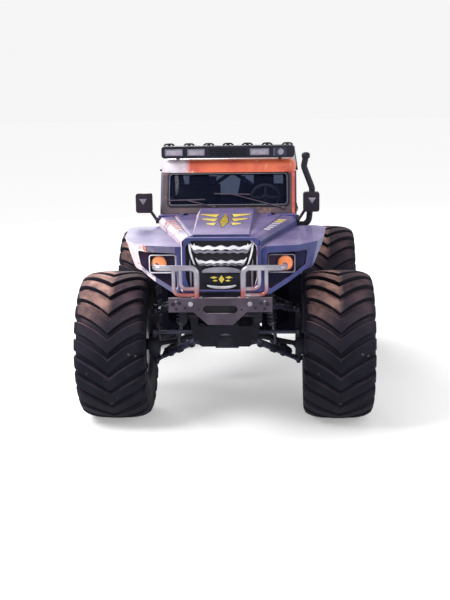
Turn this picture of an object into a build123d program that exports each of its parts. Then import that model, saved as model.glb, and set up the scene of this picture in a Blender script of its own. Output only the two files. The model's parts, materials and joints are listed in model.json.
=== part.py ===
from build123d import *
from math import atan2, cos, pi, radians, sin, tan
import os

os.makedirs("parts", exist_ok=True)

# Driving dimensions in mm. X runs across with the driver's side at +X, the nose points to -Y, Z is up.
# The origin is on the floor under the middle of the truck.
tyre_diameter = 1676.0
tyre_width = 770.0
rim_diameter = 635.0
track = 2485.0
wheelbase = 3300.0
seat_gap = 0.3
running_gap = 0.08
panel_gap = 6.0

hub_z = tyre_diameter / 2
hub_x = track / 2
front_y = -wheelbase / 2
rear_y = wheelbase / 2
axle_rows = (front_y, rear_y)


def rod(start, end, diameter):
    """A round bar from one point to another."""
    run = Vector(*end) - Vector(*start)
    with BuildPart(Plane(origin=start, z_dir=run)) as bar:
        Cylinder(diameter / 2, run.length, align=(Align.CENTER, Align.CENTER, Align.MIN))
    return bar.part


def block(low, high):
    """A box from its lowest to its highest corner."""
    sizes = [high[i] - low[i] for i in range(3)]
    with BuildPart() as body:
        with Locations(low):
            Box(*sizes, align=(Align.MIN, Align.MIN, Align.MIN))
    return body.part


def bent_tube(points, bend, diameter):
    """A round tube along straight runs joined by bends."""
    with BuildPart() as tube:
        with BuildLine() as route:
            FilletPolyline(*points, radius=bend)
        with BuildSketch(Plane(origin=route.line @ 0, z_dir=route.line % 0)):
            Circle(diameter / 2)
        sweep()
    return tube.part


# Tyre: a flat-sided carcass of equal segments, with chevron lugs that meet at the middle of the tread.
lug_height = 46.0
lug_count = 24
lug_width_deg = 7.6
carcass_radius = tyre_diameter / 2 - lug_height
rim_radius = rim_diameter / 2
bead_half = 0.39 * tyre_width
half_segment = pi / lug_count
# radius, half width
carcass_profile = [
    (rim_radius, bead_half),
    (0.36 * tyre_diameter, tyre_width / 2),
    (carcass_radius - 20, tyre_width / 2 - 90),
]
with BuildPart() as carcass_segment:
    with BuildSketch(Plane.XZ):
        with BuildLine():
            near_side = [(radius, -half) for radius, half in reversed(carcass_profile)]
            Polyline(*carcass_profile, *near_side, close=True)
        make_face()
    extrude(amount=carcass_radius * tan(half_segment) * 1.2, both=True)
    for way in (1, -1):
        split(
            bisect_by=Plane(origin=(0, 0, 0), z_dir=(-sin(half_segment), way * cos(half_segment), 0)),
            keep=Keep.BOTTOM,
        )

# A lug's arm is a straight bar from the middle of the tread, leading, to the shoulder, trailing and lower.
lug_lead, lug_trail = radians(5.0), radians(-9.0)
lug_crown = 0.498 * tyre_diameter
lug_shoulder = lug_crown - 34
lug_end = tyre_width / 2 - 10
lug_half = tyre_diameter / 2 * radians(lug_width_deg / 2)
lug_flare, lug_depth = 16.0, 185.0
arm_start = Vector(lug_crown * cos(lug_lead), lug_crown * sin(lug_lead), 0)
arm_end = Vector(lug_shoulder * cos(lug_trail), lug_shoulder * sin(lug_trail), lug_end)
arm_run = arm_end - arm_start
arm_plane = Plane(
    origin=arm_start - arm_run * 0.1,
    x_dir=Vector(1, 0, 0).cross(arm_run),
    z_dir=arm_run,
)
with BuildPart() as lug_pair:
    with BuildSketch(arm_plane):
        Polygon(
            (-lug_half - lug_flare, -lug_depth),
            (-lug_half, 0),
            (lug_half, 0),
            (lug_half + lug_flare, -lug_depth),
            align=None,
        )
    extrude(amount=arm_run.length * 1.3)
    split(bisect_by=Plane.XY, keep=Keep.TOP)
    split(bisect_by=Plane.XY.offset(lug_end), keep=Keep.BOTTOM)
    mirror(about=Plane.XY)

# turned so that the tips of two lugs stand on the floor together
lug_turn = 180 / lug_count - 9.2313
with BuildPart() as tyre_pattern:
    with PolarLocations(0, lug_count, start_angle=lug_turn):
        add(carcass_segment.part)
    with PolarLocations(0, lug_count, start_angle=lug_turn):
        add(lug_pair.part)

# Rim: a many-sided barrel with two lips, a dished disc with round windows and a bored hub drum.
rim_sides = 24
rim_wall = 12.0
lip_radius = rim_radius + 14
lip_start = bead_half + 6
lip_end = lip_start + 14
disc_low, disc_high = 150.0, 172.0
window_count = 8
window_radius = 55.0
window_circle = 205.0
drum_radius = 120.0
drum_low, drum_high = -60.0, 290.0
brake_radius = 230.0
spindle_radius = 65.0
spindle_reach = 110.0
with BuildPart() as rim_pattern:
    # plane height, length, outer radius
    for height, length, outer in (
        (-lip_start, 2 * lip_start, rim_radius - seat_gap),
        (-lip_end, lip_end - lip_start, lip_radius),
        (lip_start, lip_end - lip_start, lip_radius),
    ):
        with BuildSketch(Plane.XY.offset(height)):
            RegularPolygon(outer, rim_sides)
            RegularPolygon(rim_radius - rim_wall, rim_sides, mode=Mode.SUBTRACT)
        extrude(amount=length)
    with BuildSketch(Plane.XY.offset(disc_low)):
        RegularPolygon(rim_radius - rim_wall / 2, rim_sides)
        with PolarLocations(window_circle, window_count):
            Circle(window_radius, mode=Mode.SUBTRACT)
    extrude(amount=disc_high - disc_low)
    with BuildSketch(Plane.XY.offset(drum_low)):
        RegularPolygon(drum_radius, rim_sides)
    extrude(amount=drum_high - drum_low)
    with BuildSketch(Plane.XY.offset(drum_low)):
        RegularPolygon(brake_radius, rim_sides)
    extrude(amount=20)
    with BuildSketch(Plane.XY.offset(drum_low)):
        Circle(spindle_radius + running_gap)
    extrude(amount=spindle_reach + 10 - drum_low, mode=Mode.SUBTRACT)

# name, side, axle
corners = [
    ("front_left", 1, front_y),
    ("front_right", -1, front_y),
    ("rear_left", 1, rear_y),
    ("rear_right", -1, rear_y),
]
for corner, side, axle_y in corners:
    hub = (side * hub_x, axle_y, hub_z)
    with BuildPart(Plane(origin=hub, x_dir=(0, 0, 1), z_dir=(1, 0, 0))) as tyre:
        add(tyre_pattern.part)
    tyre.part.label = f"tyre_{corner}"
    export_step(tyre.part, f"parts/tyre_{corner}.step")
    with BuildPart(Plane(origin=hub, x_dir=(0, 0, 1), z_dir=(side, 0, 0))) as rim:
        add(rim_pattern.part)
    rim.part.label = f"rim_{corner}"
    export_step(rim.part, f"parts/rim_{corner}.step")

# Uprights: a bored boss round the drive joint, posts to the two ball pins, and the wheel spindle.
kingpin_x = hub_x - tyre_width / 2 - 52
boss_radius = 122.0
socket_radius = 76.0
boss_in = kingpin_x - 35
boss_out = kingpin_x + 82
socket_end = boss_out - 16
post_top, post_bottom = 1215.0, 700.0
post_wide, post_deep = 60.0, 90.0
ball_pin_radius = 18.0
ball_pin_length = 42.0
with BuildPart(Plane(origin=(boss_in, 0, hub_z), x_dir=(0, 1, 0), z_dir=(1, 0, 0))) as upright_left:
    Cylinder(boss_radius, boss_out - boss_in, align=(Align.CENTER, Align.CENTER, Align.MIN))
    with Locations((0, 0, boss_out - boss_in)):
        Cylinder(
            spindle_radius,
            hub_x + spindle_reach - boss_out,
            align=(Align.CENTER, Align.CENTER, Align.MIN),
        )
    post_low = (kingpin_x - post_wide / 2, -post_deep / 2, post_bottom)
    post_high = (kingpin_x + post_wide / 2, post_deep / 2, post_top)
with BuildPart() as upright_body:
    add(upright_left.part)
    add(block(post_low, post_high))
    add(
        rod(
            (kingpin_x, 0, post_bottom - ball_pin_length),
            (kingpin_x, 0, post_top + ball_pin_length),
            2 * ball_pin_radius,
        )
    )
    add(
        rod((boss_in, 0, hub_z), (socket_end, 0, hub_z), 2 * socket_radius),
        mode=Mode.SUBTRACT,
    )

# Steering: the arm on each front upright, the rack across and its sliding bar with two rod ends.
steer_arm = 230.0
steer_eye_radius = 32.0
steer_arm_thick = 26.0
rack_z = 1037.0
rack_bar_radius = 22.0
rod_end_half = 27.0
steer_arm_top = rack_z - rod_end_half - seat_gap
steer_y = front_y - steer_arm
with BuildPart() as knuckle_left:
    with Locations((0, front_y, 0)):
        add(upright_body.part)
    eye_low = (kingpin_x, steer_y, steer_arm_top - steer_arm_thick)
    add(rod(eye_low, (kingpin_x, steer_y, steer_arm_top), 2 * steer_eye_radius))
    add(
        block(
            (kingpin_x - post_wide / 2, steer_y, steer_arm_top - steer_arm_thick),
            (kingpin_x + post_wide / 2 - 10, front_y, steer_arm_top),
        )
    )
    add(rod((boss_in, front_y, hub_z), (socket_end, front_y, hub_z), 2 * socket_radius), mode=Mode.SUBTRACT)
knuckle_left.part.label = "knuckle_left"
export_step(knuckle_left.part, "parts/knuckle_left.step")
with BuildPart() as knuckle_right:
    add(mirror(knuckle_left.part, about=Plane.YZ, mode=Mode.PRIVATE))
knuckle_right.part.label = "knuckle_right"
export_step(knuckle_right.part, "parts/knuckle_right.step")

with BuildPart() as rear_uprights:
    with Locations((0, rear_y, 0)):
        add(upright_body.part)
    mirror(about=Plane.YZ)
rear_uprights.part.label = "rear_uprights"
export_step(rear_uprights.part, "parts/rear_uprights.step")

with BuildPart() as tie_rods:
    add(rod((-kingpin_x, steer_y, rack_z), (kingpin_x, steer_y, rack_z), 2 * rack_bar_radius))
    for side in (1, -1):
        add(
            rod(
                (side * kingpin_x, steer_y, rack_z - rod_end_half),
                (side * kingpin_x, steer_y, rack_z + rod_end_half),
                2 * steer_eye_radius - 6,
            )
        )
tie_rods.part.label = "tie_rods"
export_step(tie_rods.part, "parts/tie_rods.step")

# Suspension links. Heights and places of the pivots on one side; the other side is mirrored.
lower_in_x, lower_in_z = 305.0, 963.0
lower_span = 330.0
upper_in_x, upper_in_z = 520.0, 1330.0
upper_span = 200.0
bush_half = 30.0
bush_radius = 38.0
pivot_radius = 15.0
lower_leg, upper_leg = 76.0, 56.0
ball_boss_radius = 44.0
ball_boss_height = 48.0
shock_x = 560.0
shock_y = 68.0
shock_bar_radius = 20.0
lower_out_z = post_bottom - seat_gap - ball_boss_height / 2
upper_out_z = post_top + seat_gap + ball_boss_height / 2
lower_plate = lower_span + bush_half + seat_gap
upper_plate = upper_span + bush_half + seat_gap
shock_share = (shock_x - lower_in_x) / (kingpin_x - lower_in_x)
shock_low_z = lower_in_z + shock_share * (lower_out_z - lower_in_z)
shock_bar_half = lower_span * (1 - shock_share)
# inner x, inner z, half span, outer z, leg diameter
arm_rows = [
    (lower_in_x, lower_in_z, lower_span, lower_out_z, lower_leg),
    (upper_in_x, upper_in_z, upper_span, upper_out_z, upper_leg),
]
with BuildPart() as arm_side:
    for inner_x, inner_z, span, outer_z, leg in arm_rows:
        for way in (1, -1):
            inner_end = (inner_x + 20, way * span * (1 - 20 / (kingpin_x - inner_x)), inner_z)
            add(rod(inner_end, (kingpin_x, 0, outer_z), leg))
            add(
                rod(
                    (inner_x, way * span - bush_half, inner_z),
                    (inner_x, way * span + bush_half, inner_z),
                    2 * bush_radius,
                )
            )
        boss_half = ball_boss_height / 2
        add(
            rod(
                (kingpin_x, 0, outer_z - boss_half),
                (kingpin_x, 0, outer_z + boss_half),
                2 * ball_boss_radius,
            )
        )
        # the leg ends are trimmed to the boss's two flat faces, and the bores cut
        for low in (outer_z - boss_half - 90, outer_z + boss_half):
            add(
                block((kingpin_x - 75, -90, low), (kingpin_x + 90, 90, low + 90)),
                mode=Mode.SUBTRACT,
            )
        add(
            rod(
                (kingpin_x, 0, outer_z - boss_half),
                (kingpin_x, 0, outer_z + boss_half),
                2 * (ball_pin_radius + running_gap),
            ),
            mode=Mode.SUBTRACT,
        )
        for way in (1, -1):
            add(
                rod(
                    (inner_x, way * span - bush_half - 40, inner_z),
                    (inner_x, way * span + bush_half + 40, inner_z),
                    2 * (pivot_radius + running_gap),
                ),
                mode=Mode.SUBTRACT,
            )
    add(
        rod(
            (shock_x, -shock_bar_half, shock_low_z),
            (shock_x, shock_bar_half, shock_low_z),
            2 * shock_bar_radius,
        )
    )
with BuildPart() as suspension_arms:
    with Locations(*[(0, axle_y, 0) for axle_y in axle_rows]):
        add(arm_side.part)
    mirror(about=Plane.YZ)
suspension_arms.part.label = "suspension_arms"
export_step(suspension_arms.part, "parts/suspension_arms.step")

# Shocks: a body tube and a rod between two bored eyes, two to a wheel.
shock_top_x, shock_top_z = 465.0, 1450.0
shock_eye_radius = 38.0
shock_eye_half = 18.0
shock_body, shock_rod = 70.0, 34.0
with BuildPart() as shock:
    low_end = (shock_x, shock_y, shock_low_z)
    high_end = (shock_top_x, shock_y, shock_top_z)
    middle = tuple(low_end[i] + 0.42 * (high_end[i] - low_end[i]) for i in range(3))
    add(rod(low_end, middle, shock_rod))
    add(rod(middle, high_end, shock_body))
    for x, y, z in (low_end, high_end):
        add(rod((x, y - shock_eye_half, z), (x, y + shock_eye_half, z), 2 * shock_eye_radius))
    for x, y, z in (low_end, high_end):
        add(
            rod((x, y - 60, z), (x, y + 60, z), 2 * (shock_bar_radius + running_gap)),
            mode=Mode.SUBTRACT,
        )
with BuildPart() as shocks:
    with Locations(*[(0, axle_y + step, 0) for axle_y in axle_rows for step in (0, -2 * shock_y)]):
        add(shock.part)
    mirror(about=Plane.YZ)
shocks.part.label = "shocks"
export_step(shocks.part, "parts/shocks.step")

# Stations along the truck. The bumpers set the frame's ends, the frame's front end sets the nose.
overall_length = 5880.0
bumper_thick = 60.0
drawbar_reach = 55.0
drawbar_round = 56.0
frame_front = bumper_thick - overall_length / 2
frame_back = overall_length / 2 - bumper_thick - drawbar_reach - drawbar_round
nose_y = frame_front + 230
shell_depth = 48.0
shell_back = nose_y + shell_depth
cowl_y = front_y + 450
tail_y = frame_back - 60
nose_reach = front_y - nose_y

# Frame: two rails, cross tubes, bulkheads that carry the lower arms, side brackets for the upper arms.
rail_x = 380.0
rail_wide, rail_tall = 70.0, 120.0
rail_low = 1380.0
rail_high = rail_low + rail_tall
plate_thick = 14.0
bulkhead_low = 905.0
bulkhead_half = 350.0
diff_z = 960.0
diff_radius = 165.0
cross_rows = (
    frame_front + 180,
    front_y - lower_plate - 90,
    front_y + 130,
    -300.0,
    600.0,
    rear_y - lower_plate - 40,
    rear_y + lower_plate + 40,
    frame_back - 129,
)
mount_rows = (cowl_y + 150, -100.0, 800.0, tail_y - 290)
bracket_thick, bracket_high = 16.0, 1630.0
body_low = 1530.0
with BuildPart() as bulkhead:
    with BuildSketch(Plane.XZ):
        with BuildLine():
            Polyline(
                (-bulkhead_half, bulkhead_low + 60),
                (-bulkhead_half + 90, bulkhead_low),
                (bulkhead_half - 90, bulkhead_low),
                (bulkhead_half, bulkhead_low + 60),
                (rail_x + rail_wide / 2, rail_low),
                (-rail_x - rail_wide / 2, rail_low),
                close=True,
            )
        make_face()
        with Locations((0, diff_z)):
            Circle(92, mode=Mode.SUBTRACT)
        with Locations((0, 1230), (-215, 1210), (215, 1210)):
            RectangleRounded(170, 150, 30, mode=Mode.SUBTRACT)
    extrude(amount=plate_thick)
with BuildPart() as side_bracket:
    with BuildSketch(Plane.XZ):
        with BuildLine():
            Polyline(
                (rail_x + rail_wide / 2, rail_low + 5),
                (rail_x + rail_wide / 2, rail_high - 8),
                (shock_top_x + 40, rail_high - 8),
                (upper_in_x + 38, upper_in_z + 30),
                (upper_in_x + 38, upper_in_z - 38),
                (upper_in_x - 38, upper_in_z - 38),
                close=True,
            )
        make_face()
    extrude(amount=plate_thick)
# pivot x, pivot z, plate face, half span
pivot_rows = [
    (lower_in_x, lower_in_z, lower_plate, lower_span),
    (upper_in_x, upper_in_z, upper_plate, upper_span),
]
with BuildPart() as frame_side:
    for axle_y in axle_rows:
        for way in (1, -1):
            back_face = upper_plate + plate_thick if way > 0 else -upper_plate
            with Locations((0, axle_y + back_face, 0)):
                add(side_bracket.part)
            for pivot_x, pivot_z, plate, span in pivot_rows:
                add(
                    rod(
                        (pivot_x, axle_y + way * plate, pivot_z),
                        (pivot_x, axle_y + way * (span - bush_half - 5), pivot_z),
                        2 * pivot_radius,
                    )
                )
        add(
            rod(
                (shock_top_x, axle_y - upper_plate, shock_top_z),
                (shock_top_x, axle_y + upper_plate, shock_top_z),
                2 * shock_bar_radius,
            )
        )
with BuildPart() as frame:
    for side in (1, -1):
        inner = side * rail_x - rail_wide / 2
        add(block((inner, frame_front, rail_low), (inner + rail_wide, frame_back, rail_high)))
        bracket_far = (inner + rail_wide, frame_front + bracket_thick, bracket_high)
        add(block((inner, frame_front, rail_low), bracket_far))
        for y in mount_rows:
            add(rod((side * rail_x, y, rail_high), (side * rail_x, y, body_low), 66))
    for y in cross_rows:
        add(rod((-rail_x, y, rail_low + 60), (rail_x, y, rail_low + 60), 70))
    for axle_y in axle_rows:
        with Locations((0, axle_y - lower_plate, 0), (0, axle_y + lower_plate + plate_thick, 0)):
            add(bulkhead.part)
    add(frame_side.part)
    add(mirror(frame_side.part, about=Plane.YZ, mode=Mode.PRIVATE))
frame.part.label = "frame"
export_step(frame.part, "parts/frame.step")

# Rack housing round the sliding bar, on two brackets from the front bulkhead.
rack_housing_half = 240.0
rack_housing_radius = 42.0
rack_bracket_x = 180.0
with BuildPart() as steering_rack:
    add(
        rod(
            (-rack_housing_half, steer_y, rack_z),
            (rack_housing_half, steer_y, rack_z),
            2 * rack_housing_radius,
        )
    )
    for side in (1, -1):
        add(
            block(
                (side * rack_bracket_x - 20, front_y - lower_plate, rack_z - 27),
                (side * rack_bracket_x + 20, steer_y, rack_z + 27),
            )
        )
    add(
        rod(
            (-rack_housing_half - 1, steer_y, rack_z),
            (rack_housing_half + 1, steer_y, rack_z),
            2 * (rack_bar_radius + running_gap),
        ),
        mode=Mode.SUBTRACT,
    )
steering_rack.part.label = "steering_rack"
export_step(steering_rack.part, "parts/steering_rack.step")

# Driveline: a housing on each axle, the shafts, and the engine with its gearbox and radiator.
half_shaft_in = 205.0
half_shaft = 56.0
drive_ball_radius = 60.0
prop_diameter = 84.0
diff_nose = 300.0
gearbox_z = 1100.0
gearbox_front, gearbox_back = -950.0, -150.0
shaft_tilt = atan2(diff_z - hub_z, kingpin_x - half_shaft_in)
half_shaft_start = half_shaft_in + seat_gap + half_shaft / 2 * sin(shaft_tilt)
with BuildPart() as axle_diffs:
    for axle_y, way in ((front_y, 1), (rear_y, -1)):
        add(rod((-130, axle_y, diff_z), (130, axle_y, diff_z), 2 * diff_radius))
        add(rod((-half_shaft_in, axle_y, diff_z), (half_shaft_in, axle_y, diff_z), 170))
        add(rod((0, axle_y, diff_z), (0, axle_y + way * diff_nose, diff_z), 170))
        for x in (-90, 90):
            add(rod((x, axle_y - lower_plate, 1102), (x, axle_y + lower_plate, 1102), 40))
axle_diffs.part.label = "axle_diffs"
export_step(axle_diffs.part, "parts/axle_diffs.step")

with BuildPart() as drive_shafts:
    for axle_y, way in ((front_y, 1), (rear_y, -1)):
        for side in (1, -1):
            add(
                rod((side * half_shaft_start, axle_y, diff_z), (side * kingpin_x, axle_y, hub_z), half_shaft)
            )
            with Locations((side * kingpin_x, axle_y, hub_z)):
                Sphere(drive_ball_radius, rotation=(0, 0, 90))
    # nose end of the housing, near end of the gearbox, direction towards the gearbox
    for diff_y, gear_y, way in (
        (front_y + diff_nose, gearbox_front, 1),
        (rear_y - diff_nose, gearbox_back, -1),
    ):
        prop_tilt = atan2(gearbox_z - diff_z, abs(gear_y - diff_y))
        slack = seat_gap + prop_diameter / 2 * tan(prop_tilt)
        add(rod((0, diff_y + way * slack, diff_z), (0, gear_y - way * slack, gearbox_z), prop_diameter))
drive_shafts.part.label = "drive_shafts"
export_step(drive_shafts.part, "parts/drive_shafts.step")

engine_half = 290.0
engine_low, engine_high = rail_low + 95 + seat_gap, 2060.0
engine_front, engine_back = front_y - 530, front_y + 230
radiator_y = nose_y + 170
with BuildPart() as engine:
    add(block((-engine_half, engine_front, engine_low), (engine_half, engine_back, engine_high)))
    add(block((-150, engine_back - 1, rail_low + 20), (150, gearbox_front + 120, body_low - 8)))
    add(block((-170, gearbox_front, gearbox_z - 110), (170, gearbox_back, rail_low + 20)))
    add(block((-400, radiator_y, rail_high), (400, radiator_y + 90, 2120)))
engine.part.label = "engine"
export_step(engine.part, "parts/engine.step")

# The body's stations behind the cowl and its main heights.
screen_foot_y = cowl_y + 100
screen_head_y = cowl_y + 350
hinge_y = cowl_y + 186
pillar_y = 100.0
body_half = 795.0
wall = 60.0
cowl_z = 2250.0
roof_low, roof_high = 2705.0, 2861.0
floor_high = body_low + 40
sill_high = 1610.0
nose_front_half = 405.0
nose_low = 1640.0

# Cab tub: floor, sills, firewall, cowl with its side cheeks, all one welded piece.
with BuildPart() as cab_tub:
    add(block((-body_half, cowl_y, body_low), (body_half, tail_y, floor_high)))
    add(block((-body_half, cowl_y, floor_high), (body_half, cowl_y + 20, cowl_z)))
    add(block((-body_half, cowl_y, cowl_z - 24), (body_half, hinge_y - panel_gap / 2, cowl_z)))
    for side in (1, -1):
        low_x, high_x = sorted((side * body_half, side * (body_half - wall)))
        add(block((low_x, cowl_y, floor_high), (high_x, pillar_y, sill_high)))
        add(block((low_x, cowl_y, floor_high), (high_x, hinge_y - panel_gap / 2, cowl_z)))
cab_tub.part.label = "cab_tub"
export_step(cab_tub.part, "parts/cab_tub.step")

# Screen frame: a rounded ring on the leaning screen plane, cut level at its foot and head.
screen_half = body_half - 18
glass_half = body_half - 103
glass_low, glass_high = 2340.0, 2690.0
screen_thick = 56.0
glass_thick = 6.0
screen_lean = atan2(screen_head_y - screen_foot_y, roof_low - cowl_z)
screen_plane = Plane(
    origin=(0, screen_foot_y, cowl_z),
    x_dir=(1, 0, 0),
    z_dir=(0, -cos(screen_lean), sin(screen_lean)),
)


def up_screen(height):
    """Distance up the leaning screen plane to a height."""
    return (height - cowl_z) / cos(screen_lean)


glass_mid = up_screen((glass_low + glass_high) / 2)
glass_tall = up_screen(glass_high) - up_screen(glass_low)
with BuildPart() as windscreen_frame:
    with BuildSketch(screen_plane):
        with Locations((0, up_screen((cowl_z + roof_low) / 2))):
            Rectangle(2 * screen_half, up_screen(roof_low) + 160)
        with Locations((0, glass_mid)):
            RectangleRounded(2 * glass_half, glass_tall, 45, mode=Mode.SUBTRACT)
    extrude(amount=-screen_thick)
    split(bisect_by=Plane.XY.offset(cowl_z), keep=Keep.TOP)
    split(bisect_by=Plane.XY.offset(roof_low), keep=Keep.BOTTOM)
windscreen_frame.part.label = "windscreen_frame"
export_step(windscreen_frame.part, "parts/windscreen_frame.step")

# Side panels behind the doors, with an arch, a window and the tail corner posts, and the tail frame.
arch_top = 2000.0
arch_half = 0.7177 * (tail_y - rear_y)
quarter_low = floor_high
window_low, window_high = 2290.0, 2650.0
quarter_front = pillar_y
quarter_window_front, quarter_window_back = pillar_y + 130, tail_y - 230
gate_half = 620.0
gate_low = 1640.0
arch_depth = 42.0
with BuildPart() as quarter:
    with BuildSketch(Plane.YZ.offset(body_half - wall)):
        with Locations(((quarter_front + tail_y) / 2, (quarter_low + roof_low) / 2)):
            Rectangle(tail_y - quarter_front, roof_low - quarter_low)
        with Locations(((quarter_window_front + quarter_window_back) / 2, (window_low + window_high) / 2)):
            RectangleRounded(
                quarter_window_back - quarter_window_front,
                window_high - window_low,
                60,
                mode=Mode.SUBTRACT,
            )
    extrude(amount=wall)
    # the wheel arch is a deep recess with the inner skin left behind it
    with BuildSketch(Plane.YZ.offset(body_half - arch_depth)) as arch:
        Polygon(
            (rear_y - arch_half - 60, quarter_low - 60),
            (rear_y - arch_half, quarter_low + 130),
            (rear_y - arch_half / 2 - 60, arch_top),
            (rear_y + arch_half / 2 + 60, arch_top),
            (rear_y + arch_half, quarter_low + 130),
            (rear_y + arch_half + 60, quarter_low - 60),
            align=None,
        )
        fillet(arch.vertices().group_by(Axis.Y)[-1], 150)
    extrude(amount=arch_depth + 1, mode=Mode.SUBTRACT)
with BuildPart() as quarter_panels:
    add(quarter.part)
    mirror(about=Plane.YZ)
quarter_panels.part.label = "quarter_panels"
export_step(quarter_panels.part, "parts/quarter_panels.step")

# The tail frame between the side panels, and the gate that fills it with a window of its own.
gate_high = 2680.0
gate_glass_half = 500.0
tail_in = body_half - wall
with BuildPart() as tail_frame:
    add(block((-tail_in, tail_y - wall, floor_high), (tail_in, tail_y, roof_low)))
    add(
        block((-gate_half, tail_y - 2 * wall, gate_low), (gate_half, tail_y + wall, gate_high)),
        mode=Mode.SUBTRACT,
    )
tail_frame.part.label = "tail_frame"
export_step(tail_frame.part, "parts/tail_frame.step")

with BuildPart() as tailgate:
    with BuildSketch(Plane(origin=(0, tail_y, 0), x_dir=(1, 0, 0), z_dir=(0, -1, 0))):
        with Locations((0, (gate_low + gate_high) / 2)):
            Rectangle(2 * (gate_half - panel_gap), gate_high - gate_low - 2 * panel_gap)
        with Locations((0, (window_low + window_high) / 2)):
            RectangleRounded(2 * gate_glass_half, window_high - window_low, 50, mode=Mode.SUBTRACT)
    extrude(amount=wall)

# Doors: a leaf as thick as the body side, its front edge upright to the belt and then along the screen.
door_front = hinge_y + panel_gap / 2
door_back = pillar_y - panel_gap
door_low = sill_high + panel_gap
door_high = roof_low - panel_gap
screen_back_y = screen_foot_y + screen_thick / cos(screen_lean) + panel_gap


def along_screen(height):
    """Y of the door's leaning front edge at a height."""
    return screen_back_y + (height - cowl_z) * tan(screen_lean)


lean_start = cowl_z + (door_front - screen_back_y) / tan(screen_lean)
window_margin = 78.0
window_points = [
    (along_screen(window_low) + window_margin, window_low),
    (along_screen(window_high) + window_margin, window_high),
    (door_back - window_margin, window_high),
    (door_back - window_margin, window_low),
]
with BuildPart() as door:
    with BuildSketch(Plane.YZ.offset(body_half - wall)):
        Polygon(
            (door_front, door_low),
            (door_front, lean_start),
            (along_screen(door_high), door_high),
            (door_back, door_high),
            (door_back, door_low),
            align=None,
        )
    extrude(amount=wall)
    with BuildSketch(Plane.YZ.offset(body_half - wall)) as door_window:
        Polygon(*window_points, align=None)
        fillet(door_window.vertices(), 38)
    extrude(amount=wall, mode=Mode.SUBTRACT)

# Strap hinges: each half has a barrel on the axis and a strap on the skin; the fixed half has the pin.
barrel_radius = 12.0
barrel_length = 40.0
hinge_stand = 14.0
strap_reach = 90.0
strap_thick = 8.0
pin_radius = 6.0
with BuildPart() as moving_half:
    add(rod((0, 0, 0), (0, 0, barrel_length), 2 * barrel_radius))
    add(block((0, -hinge_stand - 6, 0), (strap_reach, strap_thick - hinge_stand, barrel_length)))
    add(rod((0, 0, 0), (0, 0, barrel_length - 4), 2 * (pin_radius + running_gap)), mode=Mode.SUBTRACT)
with BuildPart() as fixed_half:
    add(rod((0, 0, -barrel_length - seat_gap), (0, 0, -seat_gap), 2 * barrel_radius))
    add(
        block(
            (-strap_reach, -hinge_stand, -barrel_length - seat_gap),
            (0, strap_thick - hinge_stand, -seat_gap),
        )
    )
    add(rod((0, 0, -seat_gap - 1), (0, 0, barrel_length - 8), 2 * pin_radius))

door_hinge_rows = (1760.0, 2180.0)
hood_hinge_x = 500.0
gate_hinge_rows = (1780.0, 2200.0)
hinge_x = body_half + hinge_stand
door_hinge_planes = [
    Plane(origin=(hinge_x, hinge_y, z), x_dir=(0, 1, 0), z_dir=(0, 0, -1)) for z in door_hinge_rows
]
gate_hinge_planes = [
    Plane(origin=(-gate_half + panel_gap / 2, tail_y + hinge_stand, z), x_dir=(1, 0, 0), z_dir=(0, 0, 1))
    for z in gate_hinge_rows
]
hood_gap_y = cowl_y - panel_gap / 2
hood_hinge_planes = [
    Plane(origin=(x, hood_gap_y, cowl_z + hinge_stand), x_dir=(0, -1, 0), z_dir=(-1, 0, 0))
    for x in (hood_hinge_x, -hood_hinge_x)
]
with BuildPart() as door_hinge_halves:
    for plane in door_hinge_planes:
        add(plane.from_local_coords(moving_half.part))
with BuildPart() as hinges:
    for plane in door_hinge_planes:
        add(plane.from_local_coords(fixed_half.part))
    mirror(about=Plane.YZ)
    for plane in gate_hinge_planes + hood_hinge_planes:
        add(plane.from_local_coords(fixed_half.part))
hinges.part.label = "hinges"
export_step(hinges.part, "parts/hinges.step")

with BuildPart() as door_left:
    add(door.part)
    add(door_hinge_halves.part)
door_left.part.label = "door_left"
export_step(door_left.part, "parts/door_left.step")
with BuildPart() as door_right:
    add(mirror(door_left.part, about=Plane.YZ, mode=Mode.PRIVATE))
door_right.part.label = "door_right"
export_step(door_right.part, "parts/door_right.step")
with BuildPart() as gate_leaf:
    add(tailgate.part)
    for plane in gate_hinge_planes:
        add(plane.from_local_coords(moving_half.part))
gate_leaf.part.label = "tailgate"
export_step(gate_leaf.part, "parts/tailgate.step")

# Glass: one pane in each opening, a small gap all round, at the middle of the wall.
with BuildPart() as door_left_glass:
    with BuildSketch(Plane.YZ.offset(body_half - wall / 2)) as door_pane:
        Polygon(*window_points, align=None)
        fillet(door_pane.vertices(), 38)
        offset(amount=-seat_gap, mode=Mode.REPLACE)
    extrude(amount=glass_thick)
door_left_glass.part.label = "door_left_glass"
export_step(door_left_glass.part, "parts/door_left_glass.step")
with BuildPart() as door_right_glass:
    add(mirror(door_left_glass.part, about=Plane.YZ, mode=Mode.PRIVATE))
door_right_glass.part.label = "door_right_glass"
export_step(door_right_glass.part, "parts/door_right_glass.step")
with BuildPart() as tailgate_glass:
    with BuildSketch(Plane(origin=(0, tail_y - wall / 2, 0), x_dir=(1, 0, 0), z_dir=(0, -1, 0))):
        with Locations((0, (window_low + window_high) / 2)):
            RectangleRounded(
                2 * (gate_glass_half - seat_gap),
                window_high - window_low - 2 * seat_gap,
                50 - seat_gap,
            )
    extrude(amount=glass_thick)
tailgate_glass.part.label = "tailgate_glass"
export_step(tailgate_glass.part, "parts/tailgate_glass.step")
with BuildPart() as windscreen:
    with BuildSketch(screen_plane.offset(-screen_thick / 2)):
        with Locations((0, glass_mid)):
            RectangleRounded(2 * (glass_half - seat_gap), glass_tall - 2 * seat_gap, 45 - seat_gap)
    extrude(amount=-glass_thick)
windscreen.part.label = "windscreen"
export_step(windscreen.part, "parts/windscreen.step")
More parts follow.
